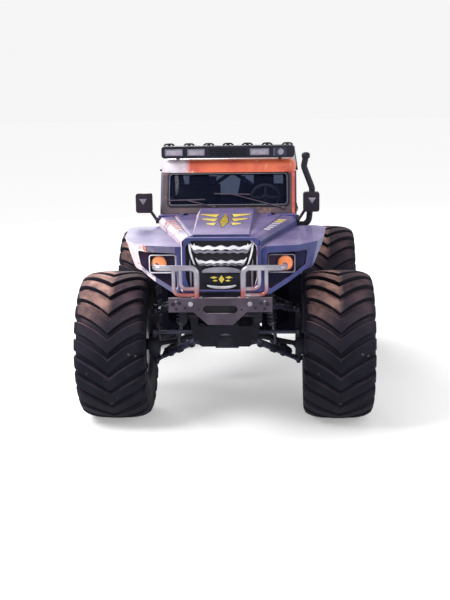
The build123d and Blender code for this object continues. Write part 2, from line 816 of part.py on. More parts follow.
with BuildPart() as quarter_glass:
    with BuildSketch(Plane.YZ.offset(body_half - wall / 2)):
        with Locations(((quarter_window_front + quarter_window_back) / 2, (window_low + window_high) / 2)):
            RectangleRounded(
                quarter_window_back - quarter_window_front - 2 * seat_gap,
                window_high - window_low - 2 * seat_gap,
                60 - seat_gap,
            )
    extrude(amount=glass_thick)
    mirror(about=Plane.YZ)
quarter_glass.part.label = "quarter_glass"
export_step(quarter_glass.part, "parts/quarter_glass.step")

# Roof: a tray turned over with rounded shoulders, its top falling towards the tail.
roof_front = screen_head_y - 22
roof_wall = 42.0
slope_start = screen_head_y + 210
roof_tail = 2738.0
roof_fall = atan2(roof_high - roof_tail, tail_y - slope_start)
roof_cut = Plane(origin=(0, slope_start, roof_high), z_dir=(0, sin(roof_fall), cos(roof_fall)))
with BuildPart() as roof_hollow:
    with BuildSketch(Plane.XY.offset(roof_low)):
        with Locations((0, (roof_front + 70 + tail_y - 60) / 2)):
            RectangleRounded(2 * (body_half - wall), tail_y - roof_front - 130, 60)
    extrude(amount=roof_high - roof_low - roof_wall)
    split(bisect_by=roof_cut.offset(-roof_wall), keep=Keep.BOTTOM)
with BuildPart() as roof:
    with BuildSketch(Plane.XY.offset(roof_low)):
        with Locations((0, (roof_front + tail_y) / 2)):
            RectangleRounded(2 * (body_half - 4), tail_y - roof_front, 120)
    extrude(amount=roof_high - roof_low)
    fillet(roof.faces().sort_by(Axis.Z)[-1].edges(), 85)
    split(bisect_by=roof_cut, keep=Keep.BOTTOM)
    add(roof_hollow.part, mode=Mode.SUBTRACT)
roof.part.label = "roof"
export_step(roof.part, "parts/roof.step")

# Hood: a plate that widens to the cowl with a raised panel along its middle, hinged at the cowl.
hood_front = shell_back + panel_gap
hood_back = cowl_y - panel_gap
hood_front_half, hood_back_half = 323.0, body_half - 182
hood_swing_room = 8.0
hood_front_z = 2236.0
hood_thick = 26.0
bulge_front_half, bulge_back_half = 296.0, 359.0
bulge_front_rise, bulge_back_rise = 10.0, 78.0
with BuildPart() as hood:
    # station, half width, top height
    for y, half, top in (
        (hood_front, hood_front_half, hood_front_z),
        (hood_back, hood_back_half, cowl_z),
    ):
        with BuildSketch(Plane.XZ.offset(-y)):
            Polygon(
                (-half, top - hood_thick),
                (-half, top - 8),
                (-half + 30, top),
                (half - 30, top),
                (half, top - 8),
                (half, top - hood_thick),
                align=None,
            )
    loft(ruled=True)
    for y, half, top, rise in (
        (hood_front, bulge_front_half, hood_front_z, bulge_front_rise),
        (hood_back, bulge_back_half, cowl_z, bulge_back_rise),
    ):
        with BuildSketch(Plane.XZ.offset(-y)):
            Polygon(
                (-half, top - 10),
                (-half + rise * 0.7, top + rise),
                (half - rise * 0.7, top + rise),
                (half, top - 10),
                align=None,
            )
    loft(ruled=True)
    for plane in hood_hinge_planes:
        add(plane.from_local_coords(moving_half.part))
hood.part.label = "hood"
export_step(hood.part, "parts/hood.step")

# Nose sides: thin angle panels from the shut line over the shoulder and down, widening to the cowl.
shut_drop = 14.0
skin = 18.0
with BuildPart() as nose_sides:
    # station, shut line, outer half width, shoulder height
    for y, shut, outer, top in (
        (shell_back, hood_front_half + panel_gap, nose_front_half, hood_front_z - 8),
        (cowl_y, hood_back_half + panel_gap + hood_swing_room, body_half, cowl_z - 8),
    ):
        with BuildSketch(Plane.XZ.offset(-y)):
            Polygon(
                (shut, top),
                (outer - 40, top - shut_drop),
                (outer, top - shut_drop - 44),
                (outer, nose_low),
                (outer - skin, nose_low),
                (outer - skin, top - shut_drop - 52),
                (outer - 48, top - shut_drop - skin),
                (shut, top - skin),
                align=None,
            )
    loft(ruled=True)
    mirror(about=Plane.YZ)
nose_sides.part.label = "nose_sides"
export_step(nose_sides.part, "parts/nose_sides.step")

# Grille shell: a ring with rounded upper corners, and the grille of wavy bars on a dark plate in it.
shell_half = 411.0
shell_low, shell_high = 1650.0, 2224.0
opening_half = 366.0
opening_high = 2185.0
with BuildPart() as grille_shell:
    with BuildSketch(Plane.XZ.offset(-shell_back)) as shell_face:
        with Locations((0, (shell_low + shell_high) / 2)):
            Rectangle(2 * shell_half, shell_high - shell_low)
        fillet(shell_face.vertices().group_by(Axis.Y)[-1], 70)
        with BuildLine():
            Polyline(
                (-opening_half + 40, shell_low + 22),
                (-opening_half, shell_low + 150),
                (-opening_half, opening_high - 60),
                (-opening_half + 60, opening_high),
                (opening_half - 60, opening_high),
                (opening_half, opening_high - 60),
                (opening_half, shell_low + 150),
                (opening_half - 40, shell_low + 22),
                close=True,
            )
        make_face(mode=Mode.SUBTRACT)
    extrude(amount=shell_depth)
grille_shell.part.label = "grille_shell"
export_step(grille_shell.part, "parts/grille_shell.step")

grille_plate = 12.0
bar_depth = 30.0
# height of the bar's middle, half span, rise of its tips
grille_bars = [
    (2105.0, 300.0, 50.0),
    (1954.0, 250.0, 56.0),
]
with BuildPart() as grille:
    with BuildSketch(Plane.XZ.offset(-(shell_back + seat_gap))):
        Polygon(
            (-opening_half - 12, shell_low + 10),
            (-opening_half - 12, opening_high - 45),
            (-opening_half + 36, opening_high + 13),
            (opening_half - 36, opening_high + 13),
            (opening_half + 12, opening_high - 45),
            (opening_half + 12, shell_low + 10),
            align=None,
        )
    extrude(amount=-grille_plate)
    for height, half, rise in grille_bars:
        with BuildSketch(Plane.XZ.offset(-(shell_back + seat_gap))):
            Polygon(
                (-half - 12, height + rise),
                (-half + 30, height + 16),
                (-half * 0.45, height + 24),
                (0, height + 8),
                (half * 0.45, height + 24),
                (half - 30, height + 16),
                (half + 12, height + rise),
                (half - 4, height - 20),
                (half * 0.5, height - 12),
                (half * 0.2, height - 24),
                (-half * 0.2, height - 24),
                (-half * 0.5, height - 12),
                (-half + 4, height - 20),
                align=None,
            )
        extrude(amount=bar_depth)
    with Locations((0, shell_back, 1882)):
        Box(404, 2 * bar_depth, 60)
grille.part.label = "grille"
export_step(grille.part, "parts/grille.step")

# Fenders: a drafted shell over each front wheel, open below, with a deep lamp opening under its brow.
fender_top = 2125.0
fender_low = 1590.0
fender_draft = 153.0
fender_skin = 15.0
fender_front = nose_reach - 25
# across, back from the axle
fender_plan = [
    (300.0, -fender_front),
    (470.0, -fender_front),
    (790.0, -0.913 * fender_front),
    (1000.0, -0.656 * fender_front),
    (1075.0, -0.359 * fender_front),
    (1125.0, 330.0),
    (1010.0, 444.0),
    (300.0, 444.0),
]
# lower edge seen from in front: across, height
fender_edge = [(300.0, 1590.0), (500.0, 1592.0), (860.0, 1822.0), (1250.0, 1866.0)]
# opening under the brow seen from in front: across, height
brow_opening = [(472.0, 2052.0), (892.0, 2052.0), (868.0, 1884.0), (472.0, 1632.0)]
fender_slope = fender_draft / (fender_top - fender_low)


def fender_volume(skin):
    """The fender's drafted solid, its faces moved in by a skin."""
    with BuildPart() as volume:
        for height in (fender_top - skin, fender_low):
            inset = skin + fender_slope * (fender_top - height)
            with BuildSketch(Plane.XY.offset(height)):
                Polygon(*[(x, front_y + y) for x, y in fender_plan], align=None)
                if inset:
                    offset(amount=-inset, kind=Kind.INTERSECTION, mode=Mode.REPLACE)
        loft(ruled=True)
    return volume.part


nose_slope = (body_half - nose_front_half) / (cowl_y - shell_back)
with BuildPart() as fender_trim:
    # the inner side is cut back to the nose side panel
    with BuildSketch(Plane.XY.offset(fender_low - 30)):
        Polygon(
            (0, shell_back - 300),
            (shell_half + seat_gap, shell_back - 300),
            (shell_half + seat_gap, shell_back + seat_gap),
            (nose_front_half + seat_gap, shell_back + seat_gap),
            (body_half + seat_gap + 60 * nose_slope, cowl_y + 60),
            (0, cowl_y + 60),
            align=None,
        )
    extrude(amount=fender_top - fender_low + 60)
    # lower edge sloping in and down towards the bumper
    with BuildSketch(Plane.XZ.offset(-cowl_y - 10)):
        Polygon(*fender_edge, (1250, fender_low - 60), (300, fender_low - 60), align=None)
    extrude(amount=1700)
with BuildPart() as front_fenders:
    add(fender_volume(0))
    add(fender_volume(fender_skin), mode=Mode.SUBTRACT)
    add(fender_trim.part, mode=Mode.SUBTRACT)
    # wheel arch through the outer wall
    with BuildSketch(Plane.YZ.offset(700)) as fender_arch:
        Polygon(
            (front_y - 560, fender_low - 30),
            (front_y - 520, 1760),
            (front_y - 330, 2058),
            (front_y + 300, 2058),
            (front_y + 400, 1760),
            (front_y + 420, fender_low - 30),
            align=None,
        )
        fillet(fender_arch.vertices().group_by(Axis.Y)[-1], 90)
    extrude(amount=500, mode=Mode.SUBTRACT)
    # lamp opening through the front wall
    with BuildSketch(Plane.XZ.offset(-front_y + 560)) as lamp_opening:
        Polygon(*brow_opening, align=None)
        fillet(lamp_opening.vertices(), 30)
    extrude(amount=600, mode=Mode.SUBTRACT)
    mirror(about=Plane.YZ)
front_fenders.part.label = "front_fenders"
export_step(front_fenders.part, "parts/front_fenders.step")

# Headlamps: a lipped box on a dark panel that closes each fender off behind its lamp opening.
bezel_in, bezel_out = 478.0, 760.0
bezel_low, bezel_high = 1828.0, 2022.0
bezel_front, bezel_back = nose_y + 150, nose_y + 310
bezel_lip = 10.0
bezel_sink = 34.0
lamp_x, lamp_z, lamp_radius = 659.0, 1925.0, 82.0
lens_thick = 22.0
panel_thick = 12.0
with BuildPart() as lamp_panel:
    add(fender_volume(fender_skin + seat_gap))
    add(fender_trim.part, mode=Mode.SUBTRACT)
    panel_far = (1300, bezel_back, fender_top)
    add(block((300, bezel_back - panel_thick, fender_low - 10), panel_far), mode=Mode.INTERSECT)
with BuildPart() as headlamps:
    add(block((bezel_in, bezel_front, bezel_low), (bezel_out, bezel_back - 1, bezel_high)))
    add(lamp_panel.part)
    add(
        block(
            (bezel_in + bezel_lip, bezel_front - 1, bezel_low + bezel_lip),
            (bezel_out - bezel_lip, bezel_front + bezel_sink, bezel_high - bezel_lip),
        ),
        mode=Mode.SUBTRACT,
    )
    lens_seat = bezel_front + bezel_sink
    add(
        rod((lamp_x, lens_seat - 1, lamp_z), (lamp_x, lens_seat + 12, lamp_z), 2 * lamp_radius),
        mode=Mode.SUBTRACT,
    )
    mirror(about=Plane.YZ)
headlamps.part.label = "headlamps"
export_step(headlamps.part, "parts/headlamps.step")

# Bumpers: a thick plate with a drop in the middle and an oblong slot, and a plain rear one with a drawbar.
bumper_half = 525.0
bumper_low, bumper_high = 1505.0, 1650.0
bumper_drop = 1373.0
slot_half, slot_tall, slot_z = 175.0, 84.0, 1530.0
bolt_x, bolt_radius = 215.0, 9.0
with BuildPart() as front_bumper:
    with BuildSketch(Plane.XZ.offset(-frame_front)):
        Polygon(
            (-bumper_half, bumper_low),
            (-bumper_half, bumper_high),
            (bumper_half, bumper_high),
            (bumper_half, bumper_low),
            (270, bumper_low),
            (125, bumper_drop),
            (-125, bumper_drop),
            (-270, bumper_low),
            align=None,
        )
        with Locations((0, slot_z)):
            SlotOverall(2 * slot_half, slot_tall, mode=Mode.SUBTRACT)
        with Locations((bolt_x, slot_z), (-bolt_x, slot_z)):
            Circle(bolt_radius, mode=Mode.SUBTRACT)
    extrude(amount=bumper_thick)
front_bumper.part.label = "front_bumper"
export_step(front_bumper.part, "parts/front_bumper.step")

drawbar_radius = 16.0
drawbar_y = frame_back + bumper_thick + drawbar_reach
drawbar_z = 1560.0
drawbar_thick = 30.0
with BuildPart() as rear_bumper:
    add(block((-700, frame_back, bumper_low - 60), (700, frame_back + bumper_thick, bumper_high - 60)))
    with BuildSketch(Plane.XY.offset(drawbar_z - drawbar_thick)):
        with Locations((0, frame_back + bumper_thick)):
            Rectangle(150, 110)
        with Locations((0, drawbar_y)):
            Circle(drawbar_round)
            Circle(drawbar_radius, mode=Mode.SUBTRACT)
    extrude(amount=drawbar_thick)
rear_bumper.part.label = "rear_bumper"
export_step(rear_bumper.part, "parts/rear_bumper.step")

# Bull bar: a hoop on each side and two tubes nested inside it, standing on the bumper.
guard_y = frame_front - bumper_thick / 2
guard_top = 1955.0
guard_bend = 62.0
tube_wide, tube_thin = 58.0, 40.0
leg_x, end_x = 234.0, 655.0
foot_z = bumper_high + seat_gap
# upright place, height of the bend above the foot
nested_rows = [(466.0, 30.0), (398.0, 92.0)]
with BuildPart() as bull_bar:
    add(
        bent_tube(
            [
                (leg_x, guard_y, foot_z),
                (leg_x, guard_y, guard_top),
                (end_x, guard_y, guard_top),
                (end_x, guard_y + 150, guard_top),
            ],
            guard_bend,
            tube_wide,
        )
    )
    for upright_x, rise in nested_rows:
        add(
            bent_tube(
                [
                    (upright_x, guard_y, guard_top),
                    (upright_x, guard_y, foot_z + rise),
                    (leg_x, guard_y, foot_z + rise),
                ],
                guard_bend,
                tube_thin,
            )
        )
    mirror(about=Plane.YZ)
bull_bar.part.label = "bull_bar"
export_step(bull_bar.part, "parts/bull_bar.step")

# Light bar over the roof's front edge, with three oblong lamps and a round one.
light_half = 770.0
light_low, light_high = 2880.0, 3018.0
light_front, light_back = front_y + 690, front_y + 800
# middle, half width
light_rows = [(-626.0, 104.0), (-368.0, 102.0), (369.0, 112.0)]
lamp_low, lamp_high = 2908.0, 2986.0
round_x, round_z, round_radius = 613.0, (lamp_low + lamp_high) / 2, 39.0
with BuildPart() as light_bar:
    add(block((-light_half, light_front, light_low), (light_half, light_back, light_high)))
    fillet(light_bar.edges().filter_by(Axis.Y), 34)
    for middle, half in light_rows:
        add(
            block(
                (middle - half, light_front - 1, lamp_low),
                (middle + half, light_front + 16, lamp_high),
            ),
            mode=Mode.SUBTRACT,
        )
    round_back = (round_x, light_front + 16, round_z)
    add(rod((round_x, light_front - 1, round_z), round_back, 2 * round_radius), mode=Mode.SUBTRACT)
    for step in range(4):
        slot_low = lamp_low - 6 + 24 * step
        add(
            block((-215, light_front - 1, slot_low), (215, light_front + 12, slot_low + 12)),
            mode=Mode.SUBTRACT,
        )
light_bar.part.label = "light_bar"
export_step(light_bar.part, "parts/light_bar.step")

with BuildPart() as lamp_lenses:
    for side in (1, -1):
        start = (side * lamp_x, lens_seat + 12 - seat_gap, lamp_z)
        add(rod(start, (side * lamp_x, lens_seat - lens_thick, lamp_z), 2 * (lamp_radius - seat_gap)))
        low_x, high_x = sorted((side * 650, side * 715))
        add(block((low_x, tail_y, 1810), (high_x, tail_y + 34, 2040)))
    for middle, half in light_rows:
        add(
            block(
                (middle - half + seat_gap, light_front + 4, lamp_low + seat_gap),
                (middle + half - seat_gap, light_front + 16 - seat_gap, lamp_high - seat_gap),
            )
        )
    round_back = (round_x, light_front + 16 - seat_gap, round_z)
    add(rod((round_x, light_front + 4, round_z), round_back, 2 * (round_radius - seat_gap)))
lamp_lenses.part.label = "lamp_lenses"
export_step(lamp_lenses.part, "parts/lamp_lenses.step")

# Lamp rail: a rail with knobs along the light bar's back, on two arms that stand on the roof.
rail_back_face = light_back + seat_gap
rail_deep = 36.0
arm_x = 600.0
arm_back = rail_back_face + 170
knob_rows = (-690.0, -455.0, -225.0, 0.0, 225.0, 455.0, 690.0)
with BuildPart() as lamp_rail:
    rail_far = (740, rail_back_face + rail_deep, light_high)
    add(block((-740, rail_back_face, light_high - 44), rail_far))
    for side in (1, -1):
        low_x, high_x = side * arm_x - 20, side * arm_x + 20
        add(block((low_x, rail_back_face, light_low), (high_x, rail_back_face + rail_deep, light_high)))
        add(block((low_x, rail_back_face, light_low), (high_x, arm_back, light_low + 25)))
        add(block((low_x, arm_back - 40, roof_high + seat_gap), (high_x, arm_back, light_low + 25)))
    for x in knob_rows:
        knob_y = rail_back_face + rail_deep / 2
        add(rod((x, knob_y, light_high - 10), (x, knob_y, light_high + 28), 36))
lamp_rail.part.label = "lamp_rail"
export_step(lamp_rail.part, "parts/lamp_rail.step")

# Wipers, mirrors and the intake tube at the driver's side.
wiper_lift = 16.0
# pivot across and height, blade's two ends across and height
wiper_rows = [
    ((-162, 2320), (-710, 2392), (-267, 2400)),
    ((639, 2306), (-162, 2462), (252, 2452)),
]


def on_screen(across, height, lift):
    """A point at a lift off the leaning screen plane."""
    reach = up_screen(height)
    return (
        across,
        screen_foot_y + reach * sin(screen_lean) - lift * cos(screen_lean),
        cowl_z + reach * cos(screen_lean) + lift * sin(screen_lean),
    )


with BuildPart() as wipers:
    for pivot, blade_start, blade_end in wiper_rows:
        add(rod(on_screen(*pivot, seat_gap), on_screen(*pivot, wiper_lift + 12), 34))
        middle = tuple((blade_start[i] + blade_end[i]) / 2 for i in range(2))
        add(rod(on_screen(*pivot, wiper_lift), on_screen(*middle, wiper_lift), 14))
        add(rod(on_screen(*blade_start, wiper_lift), on_screen(*blade_end, wiper_lift), 16))
wipers.part.label = "wipers"
export_step(wipers.part, "parts/wipers.step")

mirror_y = front_y + 462
mirror_in, mirror_out = body_half + 71, body_half + 257
mirror_low, mirror_high = 2282.0, 2507.0
with BuildPart() as mirrors:
    add(block((mirror_in, mirror_y - 40, mirror_low), (mirror_out, mirror_y + 40, mirror_high)))
    fillet(mirrors.edges().filter_by(Axis.Y), 30)
    add(rod((body_half + 20, mirror_y, 2190), (mirror_in + 24, mirror_y, mirror_low + 24), 34))
    add(rod((body_half + seat_gap, mirror_y, 2190), (body_half + 32, mirror_y, 2190), 70))
    mirror(about=Plane.YZ)
mirrors.part.label = "mirrors"
export_step(mirrors.part, "parts/mirrors.step")

snorkel_y = front_y + 547
snorkel_diameter = 70.0
snorkel_x = body_half + 97
snorkel_neck, snorkel_top = 2885.0, 2950.0
snorkel_route = [
    (body_half + seat_gap, snorkel_y, 2120),
    (snorkel_x + 38, snorkel_y, 2120),
    (snorkel_x + 80, snorkel_y, 2538),
    (snorkel_x - 17, snorkel_y, 2800),
    (snorkel_x + 3, snorkel_y, snorkel_neck + 15),
]
with BuildPart() as snorkel:
    add(bent_tube(snorkel_route, 70, snorkel_diameter))
    add(rod((snorkel_x, snorkel_y, snorkel_neck), (snorkel_x + 6, snorkel_y, snorkel_top), 96))
snorkel.part.label = "snorkel"
export_step(snorkel.part, "parts/snorkel.step")

# Cab inside: seats, dashboard with its column, steering wheel and the cage.
seat_x = 400.0
seat_y = -420.0
with BuildPart() as seat:
    with BuildSketch(Plane.YZ.offset(-260)) as seat_side:
        Polygon(
            (seat_y - 300, floor_high),
            (seat_y - 330, 1900),
            (seat_y - 300, 1950),
            (seat_y + 170, 1900),
            (seat_y + 300, 2480),
            (seat_y + 400, 2480),
            (seat_y + 300, 1800),
            (seat_y + 260, floor_high),
            align=None,
        )
        fillet(seat_side.vertices().group_by(Axis.Y)[-1], 36)
    extrude(amount=520)
    with Locations((0, seat_y + 350, 2520)):
        Box(240, 90, 130)
with BuildPart() as seats:
    with Locations((seat_x, 0, 0), (-seat_x, 0, 0)):
        add(seat.part)
seats.part.label = "seats"
export_step(seats.part, "parts/seats.step")

wheel_x = 430.0
wheel_centre = (wheel_x, front_y + 930, 2395.0)
wheel_radius = 165.0
rim_grip = 15.0
column_tilt = radians(24)
column_dir = (0, -cos(column_tilt), -sin(column_tilt))


def down_column(distance):
    """A point down the steering column from the wheel's centre."""
    return tuple(wheel_centre[i] + distance * column_dir[i] for i in range(3))


dash_low, dash_high = 1990.0, 2236.0
dash_front, dash_back = cowl_y + 20, -900.0
binnacle_half, binnacle_high = 105.0, 2338.0
with BuildPart() as dashboard:
    with BuildSketch(Plane.YZ.offset(-tail_in + 5)) as dash_side:
        Polygon(
            (dash_front, dash_low),
            (dash_front, dash_high - 12),
            (dash_back - 60, dash_high - 12),
            (dash_back, dash_high - 90),
            (dash_back - 40, dash_low),
            align=None,
        )
    extrude(amount=2 * (tail_in - 5))
    add(
        block(
            (wheel_x - binnacle_half, dash_back - 75, dash_low + 170),
            (wheel_x + binnacle_half, dash_back + 15, binnacle_high),
        )
    )
    add(rod(down_column(40), down_column(240), 60))
dashboard.part.label = "dashboard"
export_step(dashboard.part, "parts/dashboard.step")
wheel_plane = Plane(origin=wheel_centre, x_dir=(1, 0, 0), z_dir=tuple(-v for v in column_dir))
with BuildPart() as steering_wheel_local:
    with BuildSketch(Plane.XY.offset(-rim_grip)):
        Circle(wheel_radius + rim_grip)
        Circle(wheel_radius - rim_grip, mode=Mode.SUBTRACT)
    extrude(amount=2 * rim_grip)
    chamfer(steering_wheel_local.edges(), rim_grip * 0.55)
    with Locations((0, 0, -39.4)):
        Cylinder(42, 40, align=(Align.CENTER, Align.CENTER, Align.MIN))
    for angle in (0, 180, 270):
        across, up = cos(radians(angle)), sin(radians(angle))
        add(rod((20 * across, 20 * up, -20), (wheel_radius * across, wheel_radius * up, 0), 22))
with BuildPart() as steering_wheel:
    add(wheel_plane.from_local_coords(steering_wheel_local.part))
steering_wheel.part.label = "steering_wheel"
export_step(steering_wheel.part, "parts/steering_wheel.step")

cage_x = body_half - 130
cage_y = 240.0
cage_high = 2640.0
cage_back_y = 1500.0
cage_tube = 54.0
stay_foot = floor_high + seat_gap + cage_tube / 2 * sin(atan2(cage_back_y - cage_y, cage_high - floor_high))
with BuildPart() as roll_cage:
    for side in (1, -1):
        add(rod((side * cage_x, cage_y, floor_high), (side * cage_x, cage_y, cage_high), cage_tube))
        add(rod((side * cage_x, cage_y, cage_high), (side * cage_x, cage_back_y, stay_foot), cage_tube))
        with Locations((side * cage_x, cage_y, cage_high)):
            Sphere(cage_tube / 2)
    add(rod((-cage_x, cage_y, cage_high), (cage_x, cage_y, cage_high), cage_tube))
    add(rod((-cage_x, cage_y, 2150), (cage_x, cage_y, 2150), 50))
    add(rod((-cage_x, cage_y, 2150), (60, cage_y, cage_high), 48))
    add(rod((cage_x, cage_y, 2150), (-60, cage_y, cage_high), 48))
roll_cage.part.label = "roll_cage"
export_step(roll_cage.part, "parts/roll_cage.step")
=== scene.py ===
"""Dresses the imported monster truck: materials, detailed wheels, lamps, trim and cab, in metres."""
import json
import math
from itertools import product

import bmesh
import bpy
from mathutils import Matrix, Vector


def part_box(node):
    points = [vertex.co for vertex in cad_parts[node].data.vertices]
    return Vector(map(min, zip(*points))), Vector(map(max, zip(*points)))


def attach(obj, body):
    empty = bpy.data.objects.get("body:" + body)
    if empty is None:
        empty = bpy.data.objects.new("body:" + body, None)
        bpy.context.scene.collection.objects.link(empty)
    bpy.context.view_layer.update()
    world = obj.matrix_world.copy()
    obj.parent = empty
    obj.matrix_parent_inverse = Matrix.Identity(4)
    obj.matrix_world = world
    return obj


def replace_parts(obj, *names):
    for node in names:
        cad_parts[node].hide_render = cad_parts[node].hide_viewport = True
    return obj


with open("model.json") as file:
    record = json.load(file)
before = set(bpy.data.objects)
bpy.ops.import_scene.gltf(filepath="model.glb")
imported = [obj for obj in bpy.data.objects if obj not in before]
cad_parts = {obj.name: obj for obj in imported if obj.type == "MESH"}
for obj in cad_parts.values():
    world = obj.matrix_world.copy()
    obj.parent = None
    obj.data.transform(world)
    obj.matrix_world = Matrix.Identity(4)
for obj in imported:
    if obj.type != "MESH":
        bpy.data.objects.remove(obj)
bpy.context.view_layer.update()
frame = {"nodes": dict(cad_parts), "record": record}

# Values that the pieces share. Heights, widths and stations come from the frame where it has them.
TYRE_LOW, TYRE_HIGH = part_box("tyre_front_left")
HUB_X = (TYRE_LOW.x + TYRE_HIGH.x) / 2
FRONT_Y = (TYRE_LOW.y + TYRE_HIGH.y) / 2
REAR_Y = -FRONT_Y
AXLES = (FRONT_Y, REAR_Y)
TYRE_RADIUS = (TYRE_HIGH.z - TYRE_LOW.z) / 2
HUB_Z = TYRE_RADIUS
TYRE_HALF = HUB_X - TYRE_LOW.x
BEAD_HALF = 0.78 * TYRE_HALF
BODY_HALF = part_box("cab_tub")[1].x
SIDES = ((1, "left"), (-1, "right"))
CHASSIS = "chassis"
# a fitted piece stands this far off the face under it
STANDOFF = 0.0005


# Materials

class Tree:
    """A node tree with short calls for its nodes and links."""

    def __init__(self, tree):
        self.tree = tree

    def feed(self, made, inputs):
        """Sets or links a node's inputs: each a number, a colour or a socket."""
        for key, value in inputs.items():
            if isinstance(value, bpy.types.NodeSocket):
                self.tree.links.new(value, made.inputs[key])
            else:
                made.inputs[key].default_value = (*value, 1.0) if isinstance(value, tuple) else value

    def node(self, kind, inputs=None, **settings):
        made = self.tree.nodes.new("ShaderNode" + kind)
        for key, value in settings.items():
            setattr(made, key, value)
        self.feed(made, inputs or {})
        return made

    def step(self, source, low, high, least=0.0, most=1.0):
        """Source spread from least at low to most at high."""
        inputs = {"Value": source, "From Min": low, "From Max": high, "To Min": least, "To Max": most}
        return self.node("MapRange", inputs).outputs["Result"]

    def times(self, first, second):
        return self.node("Math", {0: first, 1: second}, operation="MULTIPLY").outputs[0]

    def most(self, first, second):
        return self.node("Math", {0: first, 1: second}, operation="MAXIMUM").outputs[0]


class Finish(Tree):
    """A material over the object's own coordinates."""

    def __init__(self, name):
        self.material = bpy.data.materials.new(name)
        self.material.use_nodes = True
        super().__init__(self.material.node_tree)
        self.shader = self.tree.nodes["Principled BSDF"]
        self.place = self.node("TexCoord").outputs["Object"]

    def noise(self, scale, detail=4.0, rough=0.55):
        """A noise value over the object, from 0 to 1."""
        inputs = {"Vector": self.place, "Scale": scale, "Detail": detail, "Roughness": rough}
        return self.node("TexNoise", inputs).outputs["Fac"]

    def mix(self, factor, below, above):
        """Below where factor is 0, above where it is 1."""
        return self.node("Mix", {0: factor, 6: below, 7: above}, data_type="RGBA").outputs[2]

    def facing(self, axis):
        """How far a face looks along X, Y or Z, from -1 to 1."""
        return self.node("SeparateXYZ", {0: self.node("NewGeometry").outputs["Normal"]}).outputs[axis]

    def along(self, axis):
        """The place on the object along X, Y or Z, in metres."""
        return self.node("SeparateXYZ", {0: self.place}).outputs[axis]

    def patches(self, scale, below, above):
        """Two tones in soft patches."""
        return self.mix(self.step(self.noise(scale), 0.40, 0.60), below, above)

    def spots(self, shade, colour, scale, low, wide=0.035):
        """Small sharp spots of a colour over a shade."""
        return self.mix(self.step(self.noise(scale, 6.0, 0.68), low, low + wide), shade, colour)

    def paint(self, shade, rough, coat=0.0, metal=0.0, gloss=0.5):
        self.feed(self.shader, {
            "Base Color": shade, "Roughness": rough, "Metallic": metal, "Specular IOR Level": gloss,
            "Coat Weight": coat, "Coat Roughness": 0.12,
        })
        return self.material

    def bump(self, source, distance):
        raised = self.node("Bump", {"Height": source, "Strength": 0.5, "Distance": distance})
        self.feed(self.shader, {"Normal": raised.outputs[0]})


def finish(
    name, colour, patch=None, patch_scale=3.0, dust_and_sheen=None, dust_and_sheen_share=0.5, splash=None, splash_from=0.62,
    rough=0.5, metal=0.0, coat=0.0, grain=0.0, alpha=1.0, gloss=0.5, painted_glow=0.0,
):
    """A painted, metal or rubber surface: patches of a second tone, a pale tone on top faces that is dust and
    on some surfaces painted highlight, splashes, and a glow that is painted light.
    """
    made = Finish(name)
    shade = colour
    if patch:
        shade = made.patches(patch_scale, colour, patch)
    if dust_and_sheen:
        # a pale tone on faces that look up: dust, and painted highlight where it is strong
        top = made.times(made.step(made.facing("Z"), 0.25, 0.95), made.step(made.noise(5.0), 0.3, 0.62))
        shade = made.mix(made.times(top, dust_and_sheen_share), shade, dust_and_sheen)
    if splash:
        shade = made.spots(shade, splash, 9.0, splash_from)
    if shade is colour:
        shade = made.mix(made.noise(40.0), colour, tuple(0.88 * c for c in colour))
    made.paint(shade, rough, coat, metal, gloss)
    made.feed(made.shader, {"Alpha": alpha})
    # a glow on a part that is no lamp: painted light
    if painted_glow:
        made.feed(made.shader, {"Emission Color": colour, "Emission Strength": painted_glow})
    if grain:
        made.bump(made.noise(220.0, 3.0), grain)
    return made.material


def body_paint():
    """Violet-blue paint, darker on the sides as painted shade and paler on top as painted highlight, with a
    pale painted glare and stains on the nose's right side.
    """
    made = Finish("body_blue")
    # darker blue on faces that look sideways, paler blue on faces that look up: painted shade and painted
    # highlight
    painted_shade_sides = made.patches(1.6, (0.044, 0.053, 0.195), (0.026, 0.032, 0.122))
    painted_light_tops = made.patches(2.4, (0.200, 0.158, 0.325), (0.120, 0.100, 0.235))
    shade = made.mix(made.step(made.facing("Z"), 0.30, 0.80), painted_shade_sides, painted_light_tops)
    # pale patches on faces that look to -X near the nose: a painted glare, with real stains on it
    side = made.times(made.step(made.facing("X"), -0.20, -0.60), made.step(made.along("Y"), -0.98, -1.25))
    side = made.times(side, made.step(made.noise(3.2, 6.0, 0.7), 0.33, 0.46))
    painted_glare = made.spots((0.78, 0.65, 0.71), (0.50, 0.17, 0.09), 6.0, 0.56, 0.05)
    shade = made.spots(made.mix(side, shade, painted_glare), (0.19, 0.075, 0.07), 9.0, 0.645)
    return made.paint(shade, 0.50, 0.12, gloss=0.3)


def roof_paint():
    """Orange over the front edge with a pale painted glare at its right end, and deep blue behind it as
    painted shade.
    """
    made = Finish("roof_paint")
    # deep blue over the roof behind its front edge: painted shade
    painted_shade_navy = made.patches(1.8, (0.030, 0.032, 0.088), (0.018, 0.020, 0.052))
    orange = made.patches(2.6, (0.82, 0.165, 0.070), (0.62, 0.095, 0.050))
    orange = made.spots(orange, (0.92, 0.55, 0.42), 5.0, 0.60, 0.06)
    # pale at the right end of the front edge: a painted glare
    pale = made.patches(6.0, (0.80, 0.74, 0.80), (0.60, 0.50, 0.60))
    band = made.mix(made.step(made.along("X"), -0.44, -0.52), orange, pale)
    band = made.spots(band, (0.15, 0.03, 0.04), 7.0, 0.66)
    return made.paint(made.mix(made.step(made.along("Y"), -0.765, -0.785), painted_shade_navy, band), 0.38, 0.4)


